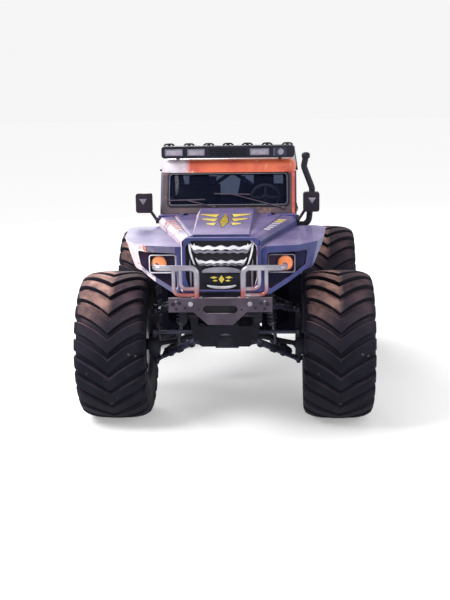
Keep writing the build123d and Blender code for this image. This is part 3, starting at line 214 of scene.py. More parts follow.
def screen_paint():
    """Brown-mauve painted shade over orange paint, the orange showing on the header and on an edge on the
    driver's side.
    """
    made = Finish("screen_paint")
    # brown-mauve stands for the orange frame in shade: painted shade; its spots are stains
    painted_shade_mauve = made.patches(3.0, (0.072, 0.040, 0.052), (0.044, 0.026, 0.040))
    painted_shade_mauve = made.spots(painted_shade_mauve, (0.17, 0.085, 0.070), 8.0, 0.60)
    orange = made.patches(2.6, (0.80, 0.165, 0.075), (0.48, 0.070, 0.050))
    header = made.times(made.step(made.along("Z"), 2.692, 2.697), made.step(made.along("X"), -0.47, -0.45))
    edge = made.most(header, made.step(made.along("X"), 0.738, 0.744))
    return made.paint(made.mix(edge, painted_shade_mauve, orange), 0.42, 0.3)


def tyre_rubber():
    """Near-black rubber, darkest on faces that look down as painted shade; the upper lugs are tan on one half
    of the tread and dim on the other, painted light from one side, with small brown spots.
    """
    made = Finish("tyre_rubber")
    dark = made.patches(4.0, (0.007, 0.007, 0.014), (0.004, 0.004, 0.009))
    middle = made.patches(3.0, (0.032, 0.025, 0.036), (0.017, 0.014, 0.024))
    tan = made.patches(5.0, (0.50, 0.29, 0.24), (0.22, 0.130, 0.125))
    painted_shaded_half = made.patches(5.0, (0.090, 0.056, 0.064), (0.045, 0.032, 0.042))
    # darker on faces that look down: painted shade
    shade = made.mix(made.step(made.facing("Z"), 0.05, 0.60), dark, middle)
    # tan on the -X half of the tread and dim on the +X half: painted light from the -X side
    painted_lit_and_shaded_halves = made.mix(made.step(made.along("X"), 0.05, -0.03), painted_shaded_half, tan)
    # the tan shows only on upper faces that look up: a painted highlight
    lit = made.times(made.step(made.facing("Z"), 0.48, 0.86), made.step(made.noise(2.2), 0.34, 0.50))
    lit = made.times(lit, made.step(made.along("Z"), 0.18, 0.60))
    shade = made.spots(made.mix(lit, shade, painted_lit_and_shaded_halves), (0.13, 0.080, 0.075), 7.0, 0.68)
    made.bump(made.noise(90.0, 3.0), 0.0012)
    return made.paint(shade, 0.72, gloss=0.12)


def tube_paint():
    """Grey steel with red low on the tubes, a painted reflection."""
    made = Finish("tube_steel")
    grey = made.patches(4.0, (0.40, 0.385, 0.43), (0.27, 0.25, 0.31))
    # red low on the tubes: a painted reflection
    low = made.times(made.step(made.along("Z"), 1.80, 1.70), made.step(made.noise(6.0), 0.36, 0.50))
    return made.paint(made.mix(low, grey, (0.30, 0.085, 0.085)), 0.34, metal=0.75)


BODY, ROOF, SCREEN, RUBBER, TUBE = body_paint(), roof_paint(), screen_paint(), tyre_rubber(), tube_paint()
# name, main tone, second tone and the scale of its patches; then what else the surface has
STEEL = finish("bright_steel", (0.36, 0.345, 0.39), (0.24, 0.22, 0.27), 4.0, rough=0.32, metal=0.85)
# the bumper's pale top faces are painted highlight as well as dust
BUMPER = finish(
    "bumper_steel", (0.064, 0.047, 0.074), (0.036, 0.026, 0.042), 3.2, dust_and_sheen=(0.42, 0.36, 0.40),
    dust_and_sheen_share=0.8, splash=(0.22, 0.18, 0.23), splash_from=0.72, metal=0.1, grain=0.0006, gloss=0.3,
)
SILVER = finish("grille_silver", (0.80, 0.80, 0.84), (0.62, 0.61, 0.68), 7.0, rough=0.35, metal=0.1)
GREY_BAR = finish("grille_grey", (0.24, 0.235, 0.28), (0.15, 0.145, 0.19), 7.0, rough=0.4, metal=0.2)
LINK = finish(
    "link_paint", (0.024, 0.028, 0.058), (0.012, 0.014, 0.030), 5.0, dust_and_sheen=(0.085, 0.085, 0.13),
    splash=(0.30, 0.10, 0.06), splash_from=0.70, rough=0.45, gloss=0.35,
)
IRON = finish(
    "axle_iron", (0.020, 0.020, 0.034), (0.010, 0.010, 0.020), 6.0, dust_and_sheen=(0.07, 0.058, 0.072),
    splash=(0.12, 0.05, 0.045), splash_from=0.66, rough=0.6, grain=0.0008, gloss=0.2,
)
FRAME_PAINT = finish(
    "frame_paint", (0.008, 0.008, 0.016), (0.004, 0.004, 0.009), dust_and_sheen=(0.040, 0.032, 0.042), rough=0.6,
    splash=(0.07, 0.035, 0.038), splash_from=0.67, gloss=0.15,
)
BLACK = finish(
    "trim_black", (0.014, 0.013, 0.024), (0.008, 0.008, 0.016), dust_and_sheen=(0.08, 0.07, 0.095),
    grain=0.0003, gloss=0.2,
)
MAROON = finish(
    "mirror_shell", (0.024, 0.016, 0.027), (0.014, 0.010, 0.019), dust_and_sheen=(0.08, 0.06, 0.075),
    rough=0.4, gloss=0.2,
)
BLADE = finish("wiper_blade", (0.085, 0.066, 0.090), (0.050, 0.040, 0.060), gloss=0.3)
# dark maroon and blue on the lamp boxes: painted shade of the recess in the fender fronts
PAINTED_SHADE_RECESS = finish("lamp_recess_painted_shade", (0.060, 0.022, 0.040), (0.020, 0.018, 0.058), 2.0, rough=0.6, gloss=0.15)
# near-black rubber, also painted shade where liners and flaps fill the gaps
LINER_AND_SHADE = finish("arch_liner_shade", (0.007, 0.007, 0.015), (0.004, 0.004, 0.009), rough=0.85, gloss=0.05)
ALLOY = finish(
    "rim_alloy", (0.17, 0.165, 0.20), (0.10, 0.095, 0.125), dust_and_sheen=(0.30, 0.25, 0.25), rough=0.35, metal=0.8,
)
SHOCK = finish("shock_steel", (0.10, 0.10, 0.14), (0.06, 0.06, 0.09), rough=0.35, metal=0.6)
CAGE = finish("cage_steel", (0.20, 0.26, 0.38), (0.13, 0.17, 0.27), rough=0.4)
FABRIC = finish("seat_fabric", (0.022, 0.022, 0.034), (0.014, 0.014, 0.024), rough=0.9, grain=0.0006)
WHEEL_GRIP = finish("wheel_grip", (0.16, 0.17, 0.23), (0.11, 0.12, 0.17))
GLASS = finish("glass_dark", (0.009, 0.011, 0.026), rough=0.25, alpha=0.42, gloss=0.0)
# pale blue that glows: painted light from the cab's windows
PAINTED_LIGHT_PANE = finish("pane_painted_light", (0.34, 0.43, 0.66), (0.20, 0.26, 0.44), 5.0, rough=0.4, gloss=0.3, painted_glow=0.45)
AMBER = finish("lamp_amber", (1.0, 0.23, 0.060), (1.0, 0.32, 0.12), 9.0, rough=0.22, coat=0.5)
CLEAR_LENS = finish("lamp_clear", (0.31, 0.28, 0.35), (0.23, 0.21, 0.27), 12.0, rough=0.2, coat=0.3)
RED_LENS = finish("lamp_red", (0.42, 0.03, 0.035), rough=0.25, coat=0.5)
YELLOW = finish("stripe_yellow", (0.80, 0.66, 0.10), (0.62, 0.44, 0.05), 9.0)
STRIPE_RUST = finish("stripe_rust", (0.42, 0.13, 0.075), (0.66, 0.36, 0.24), 9.0)
# near-black: painted shade behind the grille and in the bumper slot; also the dark edges round the hood marks
SHADE_AND_EDGE_BLACK = finish("shade_and_edge_black", (0.006, 0.006, 0.011), rough=0.8)

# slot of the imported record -> material of the nodes that use it
SLOT_FINISH = {
    "frame_paint": FRAME_PAINT, "engine_iron": IRON, "axle_iron": IRON, "shaft_steel": IRON,
    "link_paint": LINK, "shock_steel": SHOCK, "bumper_steel": BUMPER, "tube_steel": TUBE, "body_blue": BODY,
    "grille_silver": BLACK, "lamp_housing": BLACK, "lamp_lens": CLEAR_LENS, "screen_orange": SCREEN,
    "glass_dark": GLASS, "trim_black": BLACK, "rack_black": BLACK, "seat_fabric": FABRIC,
    "cage_steel": CAGE, "tyre_rubber": RUBBER, "rim_alloy": ALLOY,
}
# nodes whose finish differs from that of their slot
NODE_FINISH = {
    "roof": ROOF, "headlamps": PAINTED_SHADE_RECESS, "mirrors": MAROON, "wipers": BLADE, "steering_wheel": WHEEL_GRIP,
}


# Shape helpers

def add_object(name, data):
    made = bpy.data.objects.new(name, data)
    bpy.context.scene.collection.objects.link(made)
    return made


def mesh_object(name, points, faces):
    mesh = bpy.data.meshes.new(name)
    mesh.from_pydata([tuple(p) for p in points], [], faces)
    shaped = bmesh.new()
    shaped.from_mesh(mesh)
    bmesh.ops.recalc_face_normals(shaped, faces=shaped.faces)
    shaped.to_mesh(mesh)
    shaped.free()
    return add_object(name, mesh)


def evaluated_mesh(made):
    graph = bpy.context.evaluated_depsgraph_get()
    return bpy.data.meshes.new_from_object(made.evaluated_get(graph))


def round_edges(made, width, degrees):
    """A modifier that rounds the edges that turn by more than an angle."""
    rounding = made.modifiers.new("rounding", "BEVEL")
    rounding.width = width
    rounding.segments = 2
    rounding.limit_method = "ANGLE"
    rounding.angle_limit = math.radians(degrees)
    return rounding


def piece(made, material, body=CHASSIS, bevel=0.0, smooth=38.0):
    """Gives an object its material, rounded edges, smooth shading and body."""
    if bevel:
        round_edges(made, bevel, 32)
        made.data = evaluated_mesh(made)
        made.modifiers.clear()
    made.data.materials.clear()
    made.data.materials.append(material)
    for polygon in made.data.polygons:
        polygon.use_smooth = True
    made.data.set_sharp_from_angle(angle=math.radians(smooth))
    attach(made, body)
    return made


def joined(name, parts):
    """One object from several, keeping their shapes in place."""
    shaped = bmesh.new()
    for part in parts:
        part.data.transform(part.matrix_world)
        shaped.from_mesh(part.data)
        bpy.data.objects.remove(part)
    mesh = bpy.data.meshes.new(name)
    shaped.to_mesh(mesh)
    shaped.free()
    return add_object(name, mesh)


def group(name, parts, material, body=CHASSIS, bevel=0.0):
    return piece(joined(name, parts), material, body, bevel)


def boxed(name, low, high):
    faces = [(0, 1, 3, 2), (4, 6, 7, 5), (0, 4, 5, 1), (2, 3, 7, 6), (0, 2, 6, 4), (1, 5, 7, 3)]
    return mesh_object(name, product(*zip(low, high)), faces)


def ring(centre, radius, across, other, sides):
    """Points round a centre, from across towards other."""
    turns = [2 * math.pi * s / sides for s in range(sides)]
    return [centre + radius * (math.cos(t) * across + math.sin(t) * other) for t in turns]


def skinned(name, rings, closed=True):
    """A skin over rings of equal count, with flat caps when closed."""
    count = len(rings[0])
    points = [p for row in rings for p in row]
    faces = []
    for row, s in product(range(len(rings) - 1), range(count)):
        after = (s + 1) % count
        faces.append((row * count + s, row * count + after, (row + 1) * count + after, (row + 1) * count + s))
    if closed:
        faces.append(tuple(reversed(range(count))))
        faces.append(tuple((len(rings) - 1) * count + s for s in range(count)))
    return mesh_object(name, points, faces)


def tube(name, points, radius, bend=0.0, sides=16, steps=6):
    """A round tube along straight runs, its corners rounded to the bend's radius."""
    route = [Vector(p) for p in points]
    path = [route[0]]
    for before, corner, after in zip(route, route[1:], route[2:]):
        back, ahead = (before - corner).normalized(), (after - corner).normalized()
        angle = back.angle(ahead)
        if not bend or angle > math.pi - 0.01:
            path.append(corner)
            continue
        reach = bend / math.tan(angle / 2)
        centre = corner + (back + ahead).normalized() * (bend / math.sin(angle / 2))
        start, end = corner + back * reach - centre, corner + ahead * reach - centre
        for step in range(steps + 1):
            path.append(centre + start.normalized().slerp(end.normalized(), step / steps) * bend)
    path.append(route[-1])
    rings = []
    across = None
    for index, place in enumerate(path):
        along = (path[min(index + 1, len(path) - 1)] - path[max(index - 1, 0)]).normalized()
        if across is None:
            across = along.orthogonal().normalized()
        across = (across - along * across.dot(along)).normalized()
        rings.append(ring(place, radius, across, along.cross(across), sides))
    return skinned(name, rings)


def turned(name, profile, centre, axis, sides=48):
    """A solid of revolution: profile rows are (distance along the axis, radius)."""
    along = Vector(axis).normalized()
    across = along.orthogonal().normalized()
    other = along.cross(across)
    rings = [ring(Vector(centre) + along * reach, radius, across, other, sides) for reach, radius in profile]
    return skinned(name, rings)


def band(centre, axis, half, inner, outer, sides):
    """A plain band round a tube."""
    return turned("band", [(-half, inner), (-half, outer), (half, outer), (half, inner)], centre, axis, sides)


def plate(name, outline, thickness, matrix, holes=()):
    """A flat plate with holes, cut from closed outlines in its own plane, standing thickness out of it."""
    curve = bpy.data.curves.new(name, "CURVE")
    curve.dimensions = "2D"
    curve.fill_mode = "BOTH"
    curve.extrude = thickness / 2
    for loop in (outline, *holes):
        spline = curve.splines.new("POLY")
        spline.points.add(len(loop) - 1)
        for point, (x, y) in zip(spline.points, loop):
            point.co = (x, y, 0, 1)
        spline.use_cyclic_u = True
    drawn = add_object(name, curve)
    mesh = evaluated_mesh(drawn)
    bpy.data.objects.remove(drawn)
    shaped = bmesh.new()
    shaped.from_mesh(mesh)
    bmesh.ops.remove_doubles(shaped, verts=shaped.verts, dist=1e-5)
    bmesh.ops.dissolve_limit(shaped, angle_limit=math.radians(1), verts=shaped.verts, edges=shaped.edges)
    shaped.to_mesh(mesh)
    shaped.free()
    mesh.transform(matrix @ Matrix.Translation((0, 0, thickness / 2)))
    return add_object(name, mesh)


def sheet(name, outline, thickness, matrix, material, body=CHASSIS, bevel=0.0, holes=()):
    return piece(plate(name, outline, thickness, matrix, holes), material, body, bevel)


def circle(centre, radius, sides=24):
    turns = [2 * math.pi * s / sides for s in range(sides)]
    return [(centre[0] + radius * math.cos(t), centre[1] + radius * math.sin(t)) for t in turns]


def arc(half, middle, rise, steps):
    """Half an ellipse from +half to -half, its middle at a height."""
    turns = [math.pi * s / steps for s in range(steps + 1)]
    return [(half * math.cos(t), middle + rise * math.sin(t)) for t in turns]


def rounded(low, high, radius, steps=4):
    """A rectangle with round corners as a closed outline."""
    outline = []
    for turn, (x, y) in enumerate((
        (high[0] - radius, high[1] - radius), (low[0] + radius, high[1] - radius),
        (low[0] + radius, low[1] + radius), (high[0] - radius, low[1] + radius),
    )):
        for step in range(steps + 1):
            angle = math.pi / 2 * (turn + step / steps)
            outline.append((x + radius * math.cos(angle), y + radius * math.sin(angle)))
    return outline


def sided(side, points):
    """Points with their first value put on one side."""
    return [(side * p[0], *p[1:]) for p in points]


def stretch(side, first, last):
    """The low and the high end of a stretch that is put on one side."""
    return sorted((side * first, side * last))


def between(start, end, share):
    return start + (end - start) * share


def plane(origin, across, out):
    """A matrix whose x runs across, whose z runs out and whose y completes them."""
    z = Vector(out).normalized()
    x = Vector(across).normalized()
    y = z.cross(x)
    return Matrix.Translation(origin) @ Matrix((x, y, z)).transposed().to_4x4()


def front_at(y):
    """The plane that looks to the nose from a station."""
    return plane((0, y, 0), (1, 0, 0), (0, -1, 0))


def rear_at(y):
    return plane((0, y, 0), (-1, 0, 0), (0, 1, 0))


def side_at(side, x):
    return plane((side * x, 0, 0), (0, side, 0), (side, 0, 0))


def bolt_head(centre, out, radius, height):
    """A six-sided head with a round washer under it."""
    washer = turned("washer", [(0, radius * 1.5), (height * 0.3, radius * 1.5)], centre, out, 14)
    head = turned("head", [(0, radius), (height, radius), (height * 1.3, radius * 0.8)], centre, out, 6)
    return joined("bolt", [washer, head])


# CAD nodes keep their shapes; they get their finish and, where it shows, rounded edges.

# width of the rounded edges -> nodes
ROUNDED = {
    0.022: ("front_fenders",),
    0.020: ("mirrors",),
    0.014: ("grille_shell",),
    0.012: ("hood", "engine", "axle_diffs", "dashboard"),
    0.010: ("nose_sides", "windscreen_frame"),
    0.008: ("roof", "lamp_rail"),
    0.006: ("cab_tub", "door_left", "door_right", "quarter_panels", "tailgate", "rear_bumper", "knuckle_left",
            "knuckle_right", "rear_uprights"),
    0.005: ("light_bar", "headlamps"),
    0.004: ("tail_frame", "frame", "suspension_arms", "steering_rack"),
    0.003: ("shocks", "bull_bar"),
    0.0015: ("hinges",),
}


def dress_nodes():
    widths = {name: width for width, names in ROUNDED.items() for name in names}
    for part in frame["record"]["subparts"]:
        name = part["node"]
        node = frame["nodes"][name]
        node.data.materials.clear()
        node.data.materials.append(NODE_FINISH.get(name, SLOT_FINISH[part["material_slot"]]))
        if name in widths:
            node.modifiers.new("weld", "WELD").merge_threshold = 1e-5
            round_edges(node, widths[name], 34).harden_normals = True


# Wheels

TYRE_SIDES = 104
LUG_COUNT = 24
LUG_START = math.radians(-4.2)
LUG_HALF_TURN = math.radians(5.1)
LUG_LEAN = math.radians(0.9)
LUG_EDGE = 0.010
LUG_SPAN = TYRE_HALF - 0.002
# how much narrower a lug is at its outer end
LUG_TAPER = 0.12
# least depth of a lug, depth of the tread, share of the width where the shoulder starts, depth there
LUG_DEPTH, TREAD_DEPTH, SHOULDER, SHOULDER_DEPTH = 0.05, 0.075, 0.9, 0.09
# share of the half width, crown radius under the tip radius, turn from the middle in degrees
LUG_ROWS = (
    (0.00, 0.000, 7.0), (0.12, 0.001, 4.2), (0.28, 0.003, 0.8), (0.44, 0.006, -2.2), (0.60, 0.013, -4.8),
    (0.74, 0.025, -7.0), (0.86, 0.044, -8.6), (0.95, 0.068, -9.6), (1.00, 0.110, -10.2),
)
# share of the half width, radius: from the bead over the sidewall to the crown
CARCASS_ROWS = (
    (0.780, 0.3185), (0.800, 0.345), (0.860, 0.372), (0.905, 0.395), (0.925, 0.400), (0.930, 0.412),
    (0.965, 0.470), (0.985, 0.530), (0.990, 0.570), (1.000, 0.574), (1.000, 0.590), (0.988, 0.594),
    (0.978, 0.640), (0.950, 0.690), (0.900, 0.730), (0.820, 0.758), (0.690, 0.776), (0.500, 0.786),
    (0.250, 0.791), (0.000, 0.792),
)


def spun(across, radius, turn):
    """A point of a wheel at the origin: turn 0 is up and grows towards the nose."""
    return Vector((across, -radius * math.sin(turn), radius * math.cos(turn)))


def tyre_shape():
    outer = [(share * TYRE_HALF, radius) for share, radius in CARCASS_ROWS]
    rows = outer + sided(-1, reversed(outer[:-1]))
    turns = [2 * math.pi * s / TYRE_SIDES for s in range(TYRE_SIDES)]
    rings = [[spun(across, radius, turn) for turn in turns] for across, radius in rows]
    parts = [skinned("carcass", [*rings, rings[0]], closed=False)]
    stations = sided(-1, reversed(LUG_ROWS[1:])) + list(LUG_ROWS)
    for lug in range(LUG_COUNT):
        rings = []
        for share, drop, turn in stations:
            across = share * LUG_SPAN
            middle = LUG_START + 2 * math.pi * lug / LUG_COUNT + math.radians(turn)
            half = LUG_HALF_TURN * (1 - LUG_TAPER * abs(share))
            tip = TYRE_RADIUS - drop
            root = tip - SHOULDER_DEPTH
            if abs(share) < SHOULDER:
                root = min(tip - LUG_DEPTH, TYRE_RADIUS - TREAD_DEPTH)
            rings.append([spun(across, radius, middle + turned_by) for radius, turned_by in (
                (root, -half - LUG_LEAN), (tip - LUG_EDGE, -half - LUG_LEAN * 0.2), (tip, -half + LUG_EDGE),
                (tip, half - LUG_EDGE), (tip - LUG_EDGE, half + LUG_LEAN * 0.2), (root, half + LUG_LEAN),
            )])
        parts.append(skinned("lug", rings))
    return joined("tyre_shape", parts)


DISC_LOW, DISC_HIGH = 0.150, 0.172
HUB_REACH = 0.290
DRUM_RADIUS = 0.118
# windows in the disc: count, ring, radius
WINDOWS = (8, 0.205, 0.053)


def rim_shape():
    """A rim at the origin whose outer side is at +X."""
    def lathe(profile, sides):
        return turned("lathe", profile, (0, 0, 0), (1, 0, 0), sides)

    edge = BEAD_HALF + 0.020
    count, out, radius = WINDOWS
    windows = [circle(centre, radius) for centre in circle((0, 0), out, count)]
    face = plane((DISC_LOW, 0, 0), (0, 1, 0), (1, 0, 0))
    barrel = lathe([
        (-edge, 0.300), (-edge, 0.327), (-edge + 0.004, 0.3315), (-edge + 0.012, 0.3315),
        (-edge + 0.014, 0.3172), (edge - 0.014, 0.3172), (edge - 0.012, 0.3315), (edge - 0.004, 0.3315),
        (edge, 0.327), (edge, 0.300), (edge - 0.018, 0.296), (DISC_HIGH + 0.03, 0.284), (DISC_HIGH, 0.284),
    ], 64)
    inside = lathe([(DISC_LOW, 0.300), (-edge + 0.01, 0.300), (-edge, 0.300)], 64)
    disc = plate("disc", circle((0, 0), 0.302, 64), DISC_HIGH - DISC_LOW, face, windows)
    drum = lathe([
        (DISC_HIGH - 0.002, 0.150), (DISC_HIGH + 0.012, 0.146), (DISC_HIGH + 0.018, DRUM_RADIUS),
        (HUB_REACH - 0.03, DRUM_RADIUS - 0.006), (HUB_REACH - 0.012, 0.100), (HUB_REACH, 0.085),
        (HUB_REACH, 0.040), (HUB_REACH - 0.008, 0.036), (HUB_REACH - 0.008, 0.001),
    ], 40)
    brake = lathe([
        (-0.060, 0.068), (-0.060, 0.229), (-0.052, 0.229), (-0.050, 0.205), (-0.046, 0.229), (-0.040, 0.229),
        (-0.040, 0.119), (DISC_LOW, 0.119),
    ], 48)
    parts = [barrel, inside, disc, drum, brake]
    # wheel nuts and beadlock bolts: count, station, ring, head radius, height
    for count, reach, out, radius, height in ((10, DISC_HIGH + 0.010, 0.134, 0.011, 0.018),
                                              (24, edge - 0.003, 0.314, 0.006, 0.0035)):
        for number in range(count):
            place = spun(reach, out, 2 * math.pi * number / count)
            parts.append(bolt_head(place, (1, 0, 0), radius, height))
    return joined("rim_shape", parts)


def wheels():
    shapes = (("tyre", tyre_shape(), RUBBER, "tyre_rubber"), ("rim", rim_shape(), ALLOY, "rim_alloy"))
    for (end, axle_y), (side, name) in product((("front", FRONT_Y), ("rear", REAR_Y)), SIDES):
        for kind, shape, material, slot_name in shapes:
            mesh = shape.data.copy()
            if kind == "rim" and side < 0:
                mesh.transform(Matrix.Rotation(math.pi, 4, "Z"))
            made = add_object(f"{kind}_{end}_{name}_full", mesh)
            made.matrix_world = Matrix.Translation((side * HUB_X, axle_y, HUB_Z))
            piece(made, material, f"wheel_{end}_{name}")
            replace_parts(made, f"{kind}_{end}_{name}")
    for _, shape, _, _ in shapes:
        bpy.data.objects.remove(shape)


# Grille: wavy bars with upturned points before a dark plate, a round bar and a lip below them. The grey bars
# under the silver ones and the dark plate are painted shade.

SHELL_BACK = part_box("grille_shell")[1].y
PLATE_FRONT = SHELL_BACK - STANDOFF
# across and up, one side
GRILLE_PLATE = ((0.378, 1.660), (0.378, 2.140), (0.330, 2.197))
# middle height, half span, rise of the points, half thickness, wave; stands out, material
# the grey bars just under the silver ones stand for the silver bars' shaded undersides: painted shade
GRILLE_BARS = (
    ((2.108, 0.318, 0.058, 0.020, 0.009), 0.046, SILVER),
    ((2.068, 0.296, 0.030, 0.018, 0.010), 0.034, GREY_BAR),
    ((1.962, 0.264, 0.050, 0.015, 0.007), 0.042, SILVER),
    ((1.934, 0.246, 0.020, 0.012, 0.008), 0.030, GREY_BAR),
)
# name, outline on one side, stands out, material, rounded edge
GRILLE_ENDS = (
    ("cheek", ((0.336, 2.166), (0.312, 2.130), (0.304, 2.060), (0.284, 1.985), (0.266, 1.930), (0.286, 1.950),
               (0.312, 2.020), (0.330, 2.090)), 0.038, SILVER, 0.004),
    ("post", ((0.322, 2.000), (0.330, 1.960), (0.326, 1.700), (0.310, 1.690), (0.306, 1.880)), 0.022,
     GREY_BAR, 0.003),
    ("spike", ((0.290, 2.118), (0.276, 2.162), (0.258, 2.120)), 0.040, SILVER, 0.003),
)
# middle across and up, half width, half height
PANEL_MARKS = (
    (0.000, 1.783, 0.030, 0.042), (-0.078, 1.801, 0.040, 0.012), (0.078, 1.801, 0.040, 0.012),
    (-0.066, 1.768, 0.028, 0.010), (0.066, 1.768, 0.028, 0.010),
)


def wavy_outline(middle, half, rise, thick, wave):
    """The outline of a bar whose edges ripple and whose two ends turn up to a point."""
    steps, tip_share, ripples, teeth = 48, 0.20, 5, 3.5
    upper, lower = [], []
    for step in range(steps + 1):
        share = 2 * step / steps - 1
        tip = max(0.0, abs(share) - (1 - tip_share)) / tip_share
        ripple = wave * math.cos(ripples * math.pi * share)
        tooth = wave * 1.3 * abs(math.sin(teeth * math.pi * share))
        upper.append((half * share, middle + thick * (1 - tip) + ripple * (1 - tip) + rise * tip ** 1.5))
        lower.append((half * share, middle - thick + tooth * (1 - tip) + (rise + thick) * tip ** 3.0 * 0.86))
    return upper + list(reversed(lower))


def grille():
    front = front_at(PLATE_FRONT)
    outline = [*GRILLE_PLATE, *sided(-1, reversed(GRILLE_PLATE))]
    # the near-black backing stands for the shade behind the bars: painted shade
    backing = sheet("grille_backing", outline, 0.012, front_at(SHELL_BACK + 0.0125), SHADE_AND_EDGE_BLACK)
    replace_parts(backing, "grille")
    for number, (shape, out, tone) in enumerate(GRILLE_BARS):
        sheet(f"grille_bar_{number}", wavy_outline(*shape), out, front, tone, bevel=0.005)
    for (side, name), (label, points, out, tone, bevel) in product(SIDES, GRILLE_ENDS):
        sheet(f"grille_{label}_{name[0]}", sided(side, points), out, front, tone, bevel=bevel)
    dome = [(0.196, 1.850), *arc(0.202, 1.862, 0.050, 20), (-0.196, 1.850)]
    sheet("grille_low_bar", dome, 0.034, front, GREY_BAR, bevel=0.006)
    panel = rounded((-0.205, 1.728), (0.205, 1.840), 0.020)
    sheet("grille_panel", panel, 0.016, front, BLACK, bevel=0.004)
    marks = []
    for x, z, wide, tall in PANEL_MARKS:
        mark = [(x + wide, z), (x, z + tall), (x - wide, z), (x, z - tall)]
        marks.append(plate("mark", mark, 0.002, front_at(PLATE_FRONT - 0.0165)))
    group("panel_marks", marks, YELLOW)
    lip = arc(0.152, 1.722, -0.040, 16)
    lip += [(-0.122 + 0.244 * s / 16, 1.718 - 0.010 * math.sin(math.pi * s / 16)) for s in range(17)]
    sheet("grille_lip", lip, 0.030, front, SILVER, bevel=0.003)


# Lamps: domed amber lenses in their boxes, the bar's pale lenses with frames, three lenses in each tail lamp.

LENS_X, LENS_Z, LENS_RADIUS = 0.659, 1.925, 0.0815
BEZEL_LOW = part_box("headlamps")[0]
# across, one side
BEZEL_IN, BEZEL_OUT = 0.478, 0.760
# middle, half width
BAR_LAMPS = ((-0.626, 0.104), (-0.368, 0.102), (0.369, 0.112))
ROUND_LAMP = (0.613, 2.947)
ROUND_LAMP_RADIUS = 0.039
BAR_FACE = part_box("light_bar")[0].y
BAR_LENS_LOW, BAR_LENS_HIGH = 2.908, 2.986


def inset(low, high, by):
    """The corners of a rectangle moved in."""
    return (low[0] + by, low[1] + by), (high[0] - by, high[1] - by)


def headlamps():
    lenses = []
    front = front_at(BEZEL_LOW.y - STANDOFF)
    for side, name in SIDES:
        seat = (side * LENS_X, BEZEL_LOW.y + 0.034, LENS_Z)
        lenses.append(turned("dome", [
            (-0.011, LENS_RADIUS - 0.001), (0.006, LENS_RADIUS - 0.001), (0.014, LENS_RADIUS * 0.93),
            (0.020, LENS_RADIUS * 0.74), (0.0225, LENS_RADIUS * 0.5), (0.024, LENS_RADIUS * 0.2),
            (0.0242, LENS_RADIUS * 0.02),
        ], seat, (0, -1, 0), 40))
        rim = turned(f"lamp_ring_{name[0]}", [
            (0.001, LENS_RADIUS + 0.003), (0.001, LENS_RADIUS + 0.013), (0.010, LENS_RADIUS + 0.011),
            (0.014, LENS_RADIUS + 0.005), (0.012, LENS_RADIUS + 0.001), (0.001, LENS_RADIUS + 0.001),
        ], seat, (0, -1, 0), 40)
        piece(rim, LINK)
        low_x, high_x = stretch(side, BEZEL_IN, BEZEL_OUT)
        outer = rounded((low_x - 0.002, 1.826), (high_x + 0.002, 2.024), 0.030)
        inner = rounded((low_x + 0.010, 1.838), (high_x - 0.010, 2.012), 0.020)
        # silver trim on the -X lamp and grey on the +X lamp: painted light from the -X side
        tone = SILVER if side < 0 else GREY_BAR
        sheet(f"lamp_trim_{name[0]}", outer, 0.006, front, tone, bevel=0.0015, holes=[inner])
    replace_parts(group("amber_lenses", lenses, AMBER), "lamp_lenses")


def bar_lamps():
    front = front_at(BAR_FACE + 0.0155)
    over = front_at(BAR_FACE - STANDOFF)
    for number, (middle, half) in enumerate(BAR_LAMPS):
        corners = inset((middle - half, BAR_LENS_LOW), (middle + half, BAR_LENS_HIGH), 0.001)
        inner = inset(*corners, 0.006)
        outer, hole = rounded(*corners, 0.008), rounded(*inner, 0.012)
        sheet(f"bar_frame_{number}", outer, 0.020, front, GREY_BAR, bevel=0.0015, holes=[hole])
        lens = rounded(*inset(*inner, 0.0005), 0.012)
        sheet(f"bar_lens_{number}", lens, 0.012, front, CLEAR_LENS, bevel=0.002)
    x, z = ROUND_LAMP
    lens = circle(ROUND_LAMP, ROUND_LAMP_RADIUS - 0.001, 40)
    sheet("bar_lens_round", lens, 0.014, front, CLEAR_LENS, bevel=0.004)
    hole = circle(ROUND_LAMP, ROUND_LAMP_RADIUS + 0.001, 40)
    square = rounded((x - 0.070, z - 0.050), (x + 0.070, z + 0.050), 0.014)
    sheet("bar_frame_round", square, 0.007, over, LINK, bevel=0.002, holes=[hole])
    edge = rounded((x - 0.082, z - 0.046), (x - 0.073, z + 0.046), 0.004)
    sheet("bar_edge_round", edge, 0.006, over, GREY_BAR, bevel=0.0015)


def tail_lamps():
    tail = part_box("tail_frame")[1].y
    base_at, lens_at = rear_at(tail + STANDOFF), rear_at(tail + 0.0205)
    for side, name in SIDES:
        # seen from behind, so across runs the other way
        low_x, high_x = stretch(side, -0.650, -0.715)
        base = rounded((low_x, 1.810), (high_x, 2.040), 0.012)
        sheet(f"tail_base_{name[0]}", base, 0.020, base_at, BLACK, bevel=0.002)
        for row, (low_z, high_z, tone) in enumerate((
            (1.820, 1.885, CLEAR_LENS), (1.892, 1.955, AMBER), (1.962, 2.030, RED_LENS),
        )):
            lens = rounded((low_x + 0.006, low_z), (high_x - 0.006, high_z), 0.008)
            sheet(f"tail_lens_{name[0]}_{row}", lens, 0.012, lens_at, tone, bevel=0.003)


# Running gear: collars on the links, boots on the shafts, springs round the shocks, liners and flaps, the
# last two also painted shade in the gaps.

KINGPIN_X = 0.8055
# inner pivot across, half span and height, height of the outer pin, radius of the leg
LINKS = ((0.305, 0.330, 0.963, 0.6757, 0.038), (0.520, 0.200, 1.330, 1.2393, 0.028))
# lower and upper eye of a shock: across, along from the axle, height
SHOCK_EYES = ((0.560, 0.068, 0.8166), (0.465, 0.068, 1.450))
DIFF_Z = 0.960


